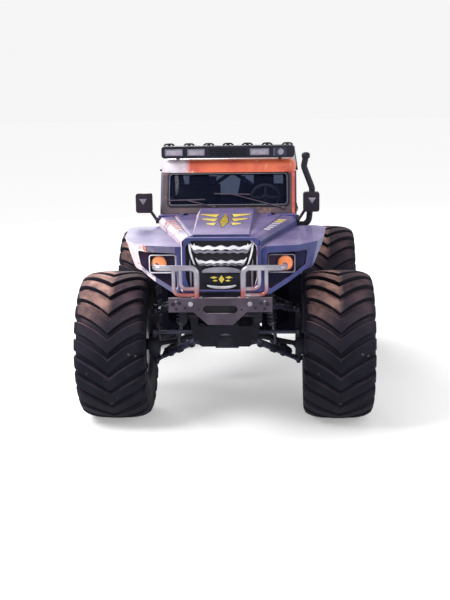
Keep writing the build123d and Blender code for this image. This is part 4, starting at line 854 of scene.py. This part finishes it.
def link_fittings():
    """Collars, clamp bolts and end caps on the wishbones of both axles."""
    parts = []
    for axle_y, side, link, way in product(AXLES, (1, -1), LINKS, (1, -1)):
        inner_x, span, inner_z, outer_z, radius = link
        outer = Vector((side * KINGPIN_X, axle_y, outer_z))
        inner = Vector((side * inner_x, axle_y + way * span, inner_z))
        # share of the link, half width of the collar
        for share, wide in ((0.16, 0.018), (0.42, 0.011), (0.47, 0.011), (0.66, 0.018)):
            parts.append(turned("collar", [
                (-wide, radius + 0.001), (-wide, radius + 0.006), (-wide * 0.7, radius + 0.009),
                (wide * 0.7, radius + 0.009), (wide, radius + 0.006), (wide, radius + 0.001),
            ], between(inner, outer, share), outer - inner, 24))
        parts.append(bolt_head(inner + Vector((0, way * 0.045, 0)), (0, way, 0), 0.021, 0.014))
    group("link_fittings", parts, IRON)


def ball_caps():
    """Dust boots and nuts at the outer ball pins, which turn with the knuckles in front."""
    profile = [(0.001, 0.017), (0.001, 0.034), (0.008, 0.034), (0.014, 0.026), (0.020, 0.024), (0.034, 0.022),
               (0.036, 0.004)]
    for name, body, sides, axle_y in (
        ("steered_left_front", "steered_left", (1,), FRONT_Y),
        ("steered_right_front", "steered_right", (-1,), FRONT_Y),
        ("chassis_rear", CHASSIS, (1, -1), REAR_Y),
    ):
        parts = [
            turned("cap", profile, (side * KINGPIN_X, axle_y, tip_z + way * 0.006), (0, 0, way), 24)
            for side, (tip_z, way) in product(sides, ((1.257, 1), (0.658, -1)))
        ]
        group(f"ball_caps_{name}", parts, IRON, body)


def shaft_boots():
    """Ribbed boots at the inner ends of the half shafts."""
    profile = [(0.004, 0.030)]
    for rib in range(6):
        reach, radius = 0.010 + 0.024 * rib, 0.078 - 0.006 * rib
        profile += [(reach, radius - 0.012), (reach + 0.010, radius), (reach + 0.016, radius)]
    profile += [(0.160, 0.040), (0.175, 0.038), (0.176, 0.030)]
    parts = []
    for axle_y, side in product(AXLES, (1, -1)):
        start = Vector((side * 0.206, axle_y, DIFF_Z - 0.001))
        parts.append(turned("boot", profile, start, Vector((side * KINGPIN_X, axle_y, HUB_Z)) - start, 28))
    group("shaft_boots", parts, BLACK)


def shock_fittings():
    """Bands, spring plates and coil springs round the eight shocks."""
    bodies, springs = [], []
    coils, steps = 6, 20
    shock_radius, coil_radius, wire_radius = 0.0355, 0.051, 0.009
    # shares of a shock's length
    coil_start, coil_end = 0.487, 0.883
    for axle_y, side, way in product(AXLES, (1, -1), (1, -1)):
        low, top = (Vector((side * x, axle_y + way * y, z)) for x, y, z in SHOCK_EYES)
        along = (top - low).normalized()
        length = (top - low).length
        # share of the length, outer radius: a band and two spring plates
        for reach, radius in ((0.42, 0.041), (0.46, 0.058), (0.91, 0.058)):
            bodies.append(band(low + along * (reach * length), along, 0.009, shock_radius, radius, 28))
        across = along.orthogonal().normalized()
        other = along.cross(across)
        winding = []
        for step in range(coils * steps + 1):
            angle = 2 * math.pi * step / steps
            reach = between(coil_start, coil_end, step / (coils * steps)) * length
            out = (across * math.cos(angle) + other * math.sin(angle)) * coil_radius
            winding.append(low + along * reach + out)
        springs.append(tube("winding", winding, wire_radius, sides=8))
    group("shock_bodies", bodies, SHOCK)
    group("shock_springs", springs, LINK)


def axle_fittings():
    """A domed cover with its bolts on each axle housing."""
    parts = []
    profile = [(0, 0.120), (0.020, 0.118), (0.034, 0.100), (0.046, 0.070), (0.050, 0.030), (0.050, 0.002)]
    for axle_y, way in ((FRONT_Y, -1), (REAR_Y, 1)):
        centre = Vector((0, axle_y + way * 0.150, DIFF_Z))
        parts.append(turned("cover", profile, centre, (0, way, 0), 36))
        parts += [
            bolt_head(centre + Vector((x, way * 0.024, z)), (0, way, 0), 0.008, 0.007)
            for x, z in circle((0, 0), 0.106, 10)
        ]
    group("axle_covers", parts, IRON)


def arch_liners():
    """Dark rubber walls behind the front wheels, from the frame out and up to the fenders; they also fill the
    gaps there with painted shade.
    """
    wall = ((0.425, 0.985), (0.600, 0.985), (0.695, 1.050), (0.700, 1.560), (0.790, 1.660), (0.790, 1.760),
            (0.425, 1.760))
    parts = [plate("wall", sided(side, wall), 0.010, front_at(FRONT_Y + 0.310)) for side in (1, -1)]
    group("arch_liners", parts, LINER_AND_SHADE, bevel=0.002)


def sway_bar():
    """A bar across behind the front axle with an arm on each side."""
    parts = []
    y, z, radius = FRONT_Y + 0.400, 1.262, 0.017
    for side in (1, -1):
        route = [(0, y, z), (side * 0.560, y, z), (side * 0.640, y - 0.130, 1.225)]
        parts.append(tube("bar", route, radius, bend=0.060, sides=14))
        parts.append(band((side * 0.400, y, z), (1, 0, 0), 0.022, 0.018, 0.032, 20))
    group("sway_bar", parts, LINK)


def mud_flaps():
    """Rubber flaps under the cab behind the front wheels, each with a clamping strip and bolts; the dark
    flaps also fill the gaps there with painted shade.
    """
    y = FRONT_Y + 1.100
    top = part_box("cab_tub")[0].z
    low_x, high_x = 0.370, 0.860
    for side, name in SIDES:
        flap = sided(side, ((low_x, 0.700), (0.820, 0.700), (high_x, 0.740), (high_x, top), (low_x, top)))
        sheet(f"mud_flap_{name}", flap, 0.008, front_at(y), LINER_AND_SHADE, bevel=0.002)
        first, last = stretch(side, low_x, high_x)
        strip = rounded((first + 0.010, top - 0.050), (last - 0.010, top - 0.012), 0.006)
        parts = [plate("clamp", strip, 0.004, front_at(y - 0.0085))]
        for number in range(5):
            place = (first + 0.050 + 0.0975 * number, y - 0.0126, top - 0.031)
            parts.append(bolt_head(place, (0, -1, 0), 0.007, 0.005))
        group(f"flap_clamp_{name}", parts, IRON)


# Bumper and guard: bolts, a dark well behind the slot as painted shade, bolted feet.

# name, material, across, up and head radius of each bolt on one side
BUMPER_BOLTS = (
    ("bumper_bolts_bright", STEEL, ((0.300, 1.590, 0.017), (0.448, 1.618, 0.007))),
    ("bumper_bolts_dark", IRON, ((0.478, 1.588, 0.013), (0.412, 1.598, 0.012), (0.355, 1.548, 0.009),
                                 (0.448, 1.538, 0.009))),
)
GUARD_X = 0.234
GUARD_HOLE = 0.0295


def bumper_fittings():
    low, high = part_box("front_bumper")
    wing = 1.505
    outline = [
        (high.x, wing), (high.x, high.z), (low.x, high.z), (low.x, wing), (-0.270, wing), (-0.125, low.z),
        (0.125, low.z), (0.270, wing),
    ]
    slot = rounded((-0.175, 1.488), (0.175, 1.572), 0.0415, 8)
    holes = [slot, circle((0.215, 1.530), 0.009), circle((-0.215, 1.530), 0.009)]
    # the face stands back by the height of its bolt heads
    face = low.y + 0.0106
    bar = sheet("front_bumper_full", outline, high.y - face, front_at(high.y), BUMPER,
                bevel=0.005, holes=holes)
    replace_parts(bar, "front_bumper")
    for name, tone, rows in BUMPER_BOLTS:
        bolts = [
            bolt_head((side * across, face - 0.0001, up), (0, -1, 0), radius, 0.008)
            for side, (across, up, radius) in product((1, -1), rows)
        ]
        group(name, bolts, tone)
    # a near-black well behind the slot: painted shade
    well = rounded((-0.190, 1.480), (0.190, 1.580), 0.045)
    sheet("slot_well", well, 0.006, front_at(high.y + 0.0065), SHADE_AND_EDGE_BLACK)
    feet = []
    middle = (low.y + high.y) / 2
    for across, out in product((GUARD_X, -GUARD_X), (1, -1)):
        ear = [(GUARD_HOLE * math.cos(0.2 * n), GUARD_HOLE * math.sin(0.2 * n)) for n in range(-4, 5)]
        ear = sided(out, ear + [(0.056, 0.021), (0.056, -0.021)])
        foot_at = plane((across, middle, high.z + STANDOFF), (1, 0, 0), (0, 0, 1))
        feet.append(plate("foot", ear, 0.010, foot_at))
        feet.append(bolt_head((across + out * 0.043, middle, high.z + 0.0106), (0, 0, 1), 0.006, 0.005))
    group("guard_feet", feet, STEEL)


# Body trim: windscreen seal, handles, gutters, arch lips, mouldings, intake, plain stripes and loops.

SCREEN_FOOT = Vector((0, FRONT_Y + 0.550, 2.250))
SCREEN_LEAN = math.atan2(0.250, 0.455)
SCREEN_OUT = Vector((0, -math.cos(SCREEN_LEAN), math.sin(SCREEN_LEAN)))
GLASS_HALF = 0.692
GLASS_LOW, GLASS_HIGH = 2.340, 2.690
SKIN = BODY_HALF + STANDOFF


def screen_seal():
    """A rubber seal round the windscreen with a grey bead on it."""
    corners = [
        (way * GLASS_HALF, (height - SCREEN_FOOT.z) / math.cos(SCREEN_LEAN))
        for way, height in ((-1, GLASS_LOW), (1, GLASS_HIGH))
    ]
    # name, outer edge in and radius, inner edge in and radius, thickness, lift, material, rounded edge
    for name, out, out_radius, inn, inn_radius, thick, lift, tone, bevel in (
        ("screen_seal", -0.022, 0.062, 0.010, 0.036, 0.009, 0.0005, BLACK, 0.003),
        ("screen_bead", 0.004, 0.040, 0.009, 0.036, 0.002, 0.0096, GREY_BAR, 0.0),
    ):
        outer = rounded(*inset(*corners, out), out_radius, 6)
        inner = rounded(*inset(*corners, inn), inn_radius, 6)
        front = plane(SCREEN_FOOT + SCREEN_OUT * lift, (1, 0, 0), SCREEN_OUT)
        sheet(name, outer, thick, front, tone, bevel=bevel, holes=[inner])


def side_trim():
    """Door handles and roof gutters."""
    low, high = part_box("roof")
    y, z = -0.010, 2.148
    for side, name in SIDES:
        leaf = f"door_{name}_leaf"
        base = rounded((side * y - 0.075, 2.120), (side * y + 0.075, 2.176), 0.014)
        sheet(f"handle_base_{name}", base, 0.006, side_at(side, SKIN), BLACK, leaf, bevel=0.002)
        # out from the skin, along
        grip = ((0.004, -0.058), (0.026, -0.058), (0.026, 0.058), (0.004, 0.058))
        route = [(side * (SKIN + out), y + along, z) for out, along in grip]
        piece(tube(f"handle_{name}", route, 0.008, bend=0.010, sides=10), STEEL, leaf)
        low_x, high_x = stretch(side, high.x + STANDOFF, high.x + 0.022)
        start, end = (low_x, low.y + 0.110, low.z + 0.008), (high_x, high.y - 0.110, low.z + 0.032)
        piece(boxed(f"gutter_{name}", start, end), BLACK, bevel=0.006)


# across and height of a sill rail at the frame and outside
SILL_RAIL = ((0.560, 1.560), (0.845, 1.470))


def rung(side, y):
    """A run from the frame out to the sill rail."""
    return [(side * x, y, z) for x, z in SILL_RAIL]


def rear_trim():
    """Lips round the rear arches, side mouldings, sill rails, filler cap and tailgate handle."""
    low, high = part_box("quarter_panels")
    half = 0.7177 * (high.y - REAR_Y)
    # along from the axle, height
    arch = ((half + 0.022, low.z + 0.015), (half + 0.006, low.z + 0.135), (half / 2 + 0.070, low.z + 0.442))
    for side, name in SIDES:
        x = side * (BODY_HALF + 0.010)
        route = [(x, REAR_Y + y, z) for y, z in (*sided(-1, arch), *reversed(arch))]
        lip = tube(f"arch_lip_{name}", route, 0.020, bend=0.13, sides=14, steps=8)
        piece(lip, BLACK)
        for label, start, end, body in (
            ("door", -0.900, 0.055, f"door_{name}_leaf"), ("quarter", 0.130, 0.830, CHASSIS),
            ("tail", 2.470, 2.680, CHASSIS),
        ):
            first, last = stretch(side, start, end)
            strip = rounded((first, 1.900), (last, 1.944), 0.012)
            moulding = plate(f"moulding_{label}_{name}", strip, 0.011, side_at(side, SKIN))
            piece(moulding, BLACK, body, bevel=0.004)
        parts = [tube("rail", rung(side, -0.700) + rung(side, 0.930)[::-1], 0.026, bend=0.09)]
        parts += [tube("stay", rung(side, y), 0.018, sides=12) for y in (-0.250, 0.420)]
        group(f"sill_rail_{name}", parts, BLACK)
    profile = [(0, 0.078), (0.006, 0.078), (0.009, 0.058), (0.022, 0.055), (0.027, 0.047), (0.027, 0.003)]
    cap = turned("cap", profile, (SKIN, 0.480, 2.110), (1, 0, 0), 36)
    grip = boxed("grip", (BODY_HALF + 0.026, 0.442, 2.103), (BODY_HALF + 0.038, 0.518, 2.117))
    group("filler_cap", [cap, grip], BLACK, bevel=0.002)
    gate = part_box("tailgate")[1].y
    # out from the gate, height
    bow = ((0.001, 2.190), (0.034, 2.190), (0.034, 2.040), (0.001, 2.040))
    route = [(0.500, gate + out, z) for out, z in bow]
    piece(tube("handle", route, 0.011, bend=0.014, sides=12), STEEL, "gate_leaf")


def intake():
    """The intake tube with long bends and a round cap in place of the plain one."""
    low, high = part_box("snorkel")
    y = (low.y + high.y) / 2
    # half width, inner and outer radius, sides
    cuff = (0.010, 0.0355, 0.039, 28)
    # out from the tube's inner end, height
    route = [
        Vector((low.x + out, y, z))
        for out, z in ((0.0, 2.120), (0.135, 2.120), (0.176, 2.538), (0.080, 2.790), (0.101, 2.890))
    ]
    cap = [(0.0, 0.036), (0.004, 0.045), (0.018, 0.0475), (0.044, 0.047), (0.058, 0.040), (0.066, 0.026),
           (0.069, 0.008)]
    parts = [
        tube("pipe", route, 0.035, bend=0.085, sides=28, steps=8),
        turned("cap", cap, (low.x + 0.103, y, 2.882), (0, 0, 1), 32),
        band((low.x + 0.050, y, 2.120), (1, 0, 0), *cuff),
        band(route[2].lerp(route[1], 0.45), (0.041, 0, 0.418), *cuff),
    ]
    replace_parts(group("snorkel_full", parts, BLACK), "snorkel")


HOOD_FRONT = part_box("nose_sides")[0].y + 0.006
COWL_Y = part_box("nose_sides")[1].y
# across and along, one side: three wedges from long to short, then the diamond between them
HOOD_MARKS = (
    ((0.070, -1.560), (0.096, -1.720), (0.283, -1.580), (0.283, -1.550)),
    ((0.074, -1.790), (0.104, -1.950), (0.250, -1.830), (0.250, -1.800)),
    ((0.078, -2.020), (0.100, -2.160), (0.190, -2.080), (0.190, -2.055)),
    ((0.000, -2.290), (0.050, -1.950), (0.000, -1.500), (-0.050, -1.950)),
)


def slab(corners, lift, thickness):
    """A thin four-sided patch over a surface, from its corners in order round it."""
    a, b, c, d = (Vector(p) for p in corners)
    up = (b - a).cross(d - a).normalized()
    up = up if up.z > 0 else -up
    low = [p + up * lift for p in (a, b, c, d)]
    high = [p + up * thickness for p in low]
    faces = [(0, 1, 2, 3), (7, 6, 5, 4), (0, 4, 5, 1), (1, 5, 6, 2), (2, 6, 7, 3), (3, 7, 4, 0)]
    return mesh_object("slab", low + high, faces)


def hood_marks():
    """Yellow tapered stripes and a long diamond over the middle of the hood, with dark edges under them."""
    def on_bulge(x, y):
        share = (y - HOOD_FRONT) / (COWL_Y - 0.006 - HOOD_FRONT)
        return x, y, between(2.246, 2.328, share)

    # name, growth of the outline, lift over the hood, material
    for name, grow, lift, tone in (
        ("hood_mark_edge", 0.010, 0.0004, SHADE_AND_EDGE_BLACK), ("hood_mark", 0.0, 0.0016, YELLOW),
    ):
        parts = []
        for shape, side in product(HOOD_MARKS, (1, -1)):
            middle = Vector((sum(x for x, _ in shape) / 4, sum(y for _, y in shape) / 4))
            corners = []
            for x, y in shape:
                away = (Vector((x, y)) - middle).normalized() * grow
                corners.append(on_bulge(side * (x + away.x), y + away.y))
            parts.append(slab(corners, lift, 0.001))
        group(name, parts, tone, "hood_leaf")


def shoulder_marks():
    """Slanted dashes along both shoulders of the nose."""
    def on_shoulder(side, along, across):
        front, back = ((0.329, 2.228), (0.365, 2.214)), ((0.627, 2.242), (0.755, 2.228))
        inner, outer = (tuple(between(f, b, along) for f, b in zip(*rows)) for rows in zip(front, back))
        y = between(HOOD_FRONT - 0.006, COWL_Y, along)
        return side * between(inner[0], outer[0], across), y, between(inner[1], outer[1], across)

    groups = {"pale": (SILVER, []), "yellow": (YELLOW, []), "rust": (STRIPE_RUST, [])}
    for side, number in product((1, -1), range(6)):
        start = 0.30 + 0.088 * number
        corners = [
            on_shoulder(side, start + along, across)
            for along, across in ((0, 0.16), (0.046, 0.16), (0.074, 0.94), (0.028, 0.94))
        ]
        tone = "rust" if side < 0 else "yellow" if number > 3 else "pale"
        groups[tone][1].append(slab(corners, 0.0006, 0.001))
    for tone, (material, parts) in groups.items():
        group(f"shoulder_marks_{tone}", parts, material)


def mirror_facets():
    """A pale three-sided mark on each mirror."""
    low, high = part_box("mirrors")
    parts = []
    for side in (1, -1):
        x, z = side * (high.x - 0.085), high.z - 0.088
        facet = [(x - 0.044, z + 0.026), (x + 0.044, z + 0.026), (x, z - 0.042)]
        parts.append(plate("facet", facet, 0.002, front_at(low.y - STANDOFF)))
    group("mirror_facets", parts, GREY_BAR, bevel=0.0008)


def rail_loops():
    """Low grab loops along the lamp rail."""
    low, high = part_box("lamp_rail")
    y, foot = low.y + 0.018, high.z - 0.029
    # across from a loop's middle, up from its foot
    bow = ((-0.062, 0), (-0.036, 0.019), (0.036, 0.019), (0.062, 0))
    parts = []
    for x in (-0.690, -0.455, -0.225, 0.0, 0.225, 0.455, 0.690):
        route = [(x + across, y, foot + up) for across, up in bow]
        parts.append(tube("loop", route, 0.010, bend=0.020, sides=10))
    group("rail_loops", parts, BLACK)


# Cab: glowing pale panes behind the seats, which are painted light, and the padding on the seats.

def cab_panes():
    """Pale blue plastic panes held to the cage behind the front seats; they glow as painted light from the
    windows.
    """
    for name, outline in (
        ("middle", [(-0.230, 2.300), (0.060, 2.300), (0.120, 2.610), (-0.200, 2.610)]),
        ("inner", [(0.170, 2.600), (0.300, 2.600), (0.350, 2.470), (0.300, 2.400), (0.150, 2.480)]),
        ("outer", [(0.500, 2.330), (0.640, 2.330), (0.640, 2.600), (0.470, 2.600)]),
        ("far", [(-0.620, 2.330), (-0.560, 2.330), (-0.520, 2.600), (-0.620, 2.600)]),
    ):
        sheet(f"cab_pane_{name}", outline, 0.004, front_at(0.300), PAINTED_LIGHT_PANE, bevel=0.001)


def cushion(name, centre, along, up, size):
    """A padded form, crowned across and along, with ribs sewn across it; size is width, length, thickness."""
    ahead, above = Vector(along).normalized(), Vector(up).normalized()
    rows, sides, ribs = 36, 28, 5
    # shares: depth of the sewn grooves, height of the underside, drawing in at the ends
    groove, under, drawn_in = 0.14, 0.35, 0.06
    rings = []
    for row in range(rows + 1):
        share = 2 * row / rows - 1
        edge = max(0.02, 1 - abs(share) ** 7) ** (1 / 3)
        rib = 1 - groove + groove * abs(math.sin(math.pi * ribs * (share + 1) / 2)) ** 0.6
        points = []
        for step in range(sides):
            angle = 2 * math.pi * step / sides
            wide = math.copysign(abs(math.cos(angle)) ** 0.45, math.cos(angle)) * size[0] / 2
            tall = math.copysign(abs(math.sin(angle)) ** 0.75, math.sin(angle)) * size[2]
            tall *= rib if tall > 0 else under
            points.append(
                Vector(centre) + ahead * (share * size[1] / 2) + above * (tall * edge)
                + Vector((wide * (1 - drawn_in + drawn_in * edge), 0, 0))
            )
        rings.append(points)
    piece(skinned(name, rings), FABRIC, smooth=60)


SEAT_X = 0.400
# name, station and height of the middle, direction along, direction out, size
PADS = (
    ("seat", (-0.495, 1.924), (0, -0.500, 0.050), (0, 0.05, 0.5), (0.480, 0.470, 0.045)),
    ("back", (-0.178, 2.205), (0, 0.130, 0.580), (0, -0.580, 0.130), (0.480, 0.480, 0.045)),
    ("head", (-0.115, 2.520), (0, 0, 1), (0, -1, 0), (0.250, 0.128, 0.030)),
)


def seat_cushions():
    for (side, name), (part, middle, along, up, size) in product(SIDES, PADS):
        cushion(f"{part}_pad_{name}", (side * SEAT_X, *middle), along, up, size)


# Camera, light and floor

def camera():
    """The photograph's view: from in front, a little to the driver's side and above the roof."""
    heading, pitch, roll = math.radians(3.093), math.radians(12.458), math.radians(-0.877)
    focal_pixels, picture_pixels = 1091.2, 600
    lens = bpy.data.cameras.new("photo_camera")
    lens.sensor_width = 36.0
    lens.lens = lens.sensor_width * focal_pixels / picture_pixels
    lens.clip_end = 200.0
    made = add_object("photo_camera", lens)
    place = (0.628, -13.6335, 4.0)
    turn = Matrix.Rotation(heading, 4, "Z") @ Matrix.Rotation(math.pi / 2 - pitch, 4, "X")
    turn @= Matrix.Rotation(roll, 4, "Z")
    made.matrix_world = Matrix.Translation(place) @ turn
    bpy.context.scene.camera = made


def lamp(name, place, target, size, power):
    light = bpy.data.lights.new(name, "AREA")
    light.size = size
    light.energy = power
    made = add_object(name, light)
    made.location = place
    made.rotation_mode = "QUATERNION"
    made.rotation_quaternion = (Vector(target) - Vector(place)).to_track_quat("-Z", "Y")


def studio():
    """A pale floor, a white background and three soft lamps."""
    floor = mesh_object("floor", [(-60, -60, 0), (60, -60, 0), (60, 60, 0), (-60, 60, 0)], [(0, 1, 2, 3)])
    shade = Finish("floor_pale")
    # brighter with distance, so that it meets the background without a horizon
    reach = shade.node("VectorMath", {0: shade.place}, operation="LENGTH").outputs["Value"]
    shade.feed(shade.shader, {
        "Base Color": shade.mix(shade.noise(0.4), (0.80, 0.80, 0.80), (0.82, 0.82, 0.82)),
        "Roughness": 0.95, "Specular IOR Level": 0.1, "Emission Color": (1, 1, 1),
        "Emission Strength": shade.step(reach, 5.0, 16.0, 0.30, 0.42),
    })
    floor.data.materials.append(shade.material)
    world = bpy.data.worlds.new("studio")
    bpy.context.scene.world = world
    world.use_nodes = True
    sky = Tree(world.node_tree)
    rays = sky.node("LightPath").outputs
    seen = sky.most(sky.most(rays["Is Camera Ray"], rays["Is Glossy Ray"]), rays["Is Transmission Ray"])
    strength = sky.step(seen, 0.0, 1.0, 0.62, 0.92)
    sky.feed(world.node_tree.nodes["Background"], {"Color": (1, 1, 1), "Strength": strength})
    lamp("key", (-7.0, -6.0, 9.0), (0, -0.5, 1.2), 5.0, 1100)
    lamp("fill", (8.0, -8.0, 5.0), (0, -0.5, 1.2), 6.0, 350)
    lamp("rim_light", (-3.0, 9.0, 8.0), (0, 0, 1.5), 5.0, 900)


for build in (
    dress_nodes, wheels, grille, headlamps, bar_lamps, tail_lamps, link_fittings, ball_caps, shaft_boots,
    shock_fittings, axle_fittings, arch_liners, sway_bar, mud_flaps, bumper_fittings, screen_seal, side_trim,
    rear_trim, intake, cab_panes, seat_cushions, hood_marks, shoulder_marks, mirror_facets, rail_loops,
    camera, studio,
):
    build()

bpy.context.scene.view_settings.view_transform = "Standard"
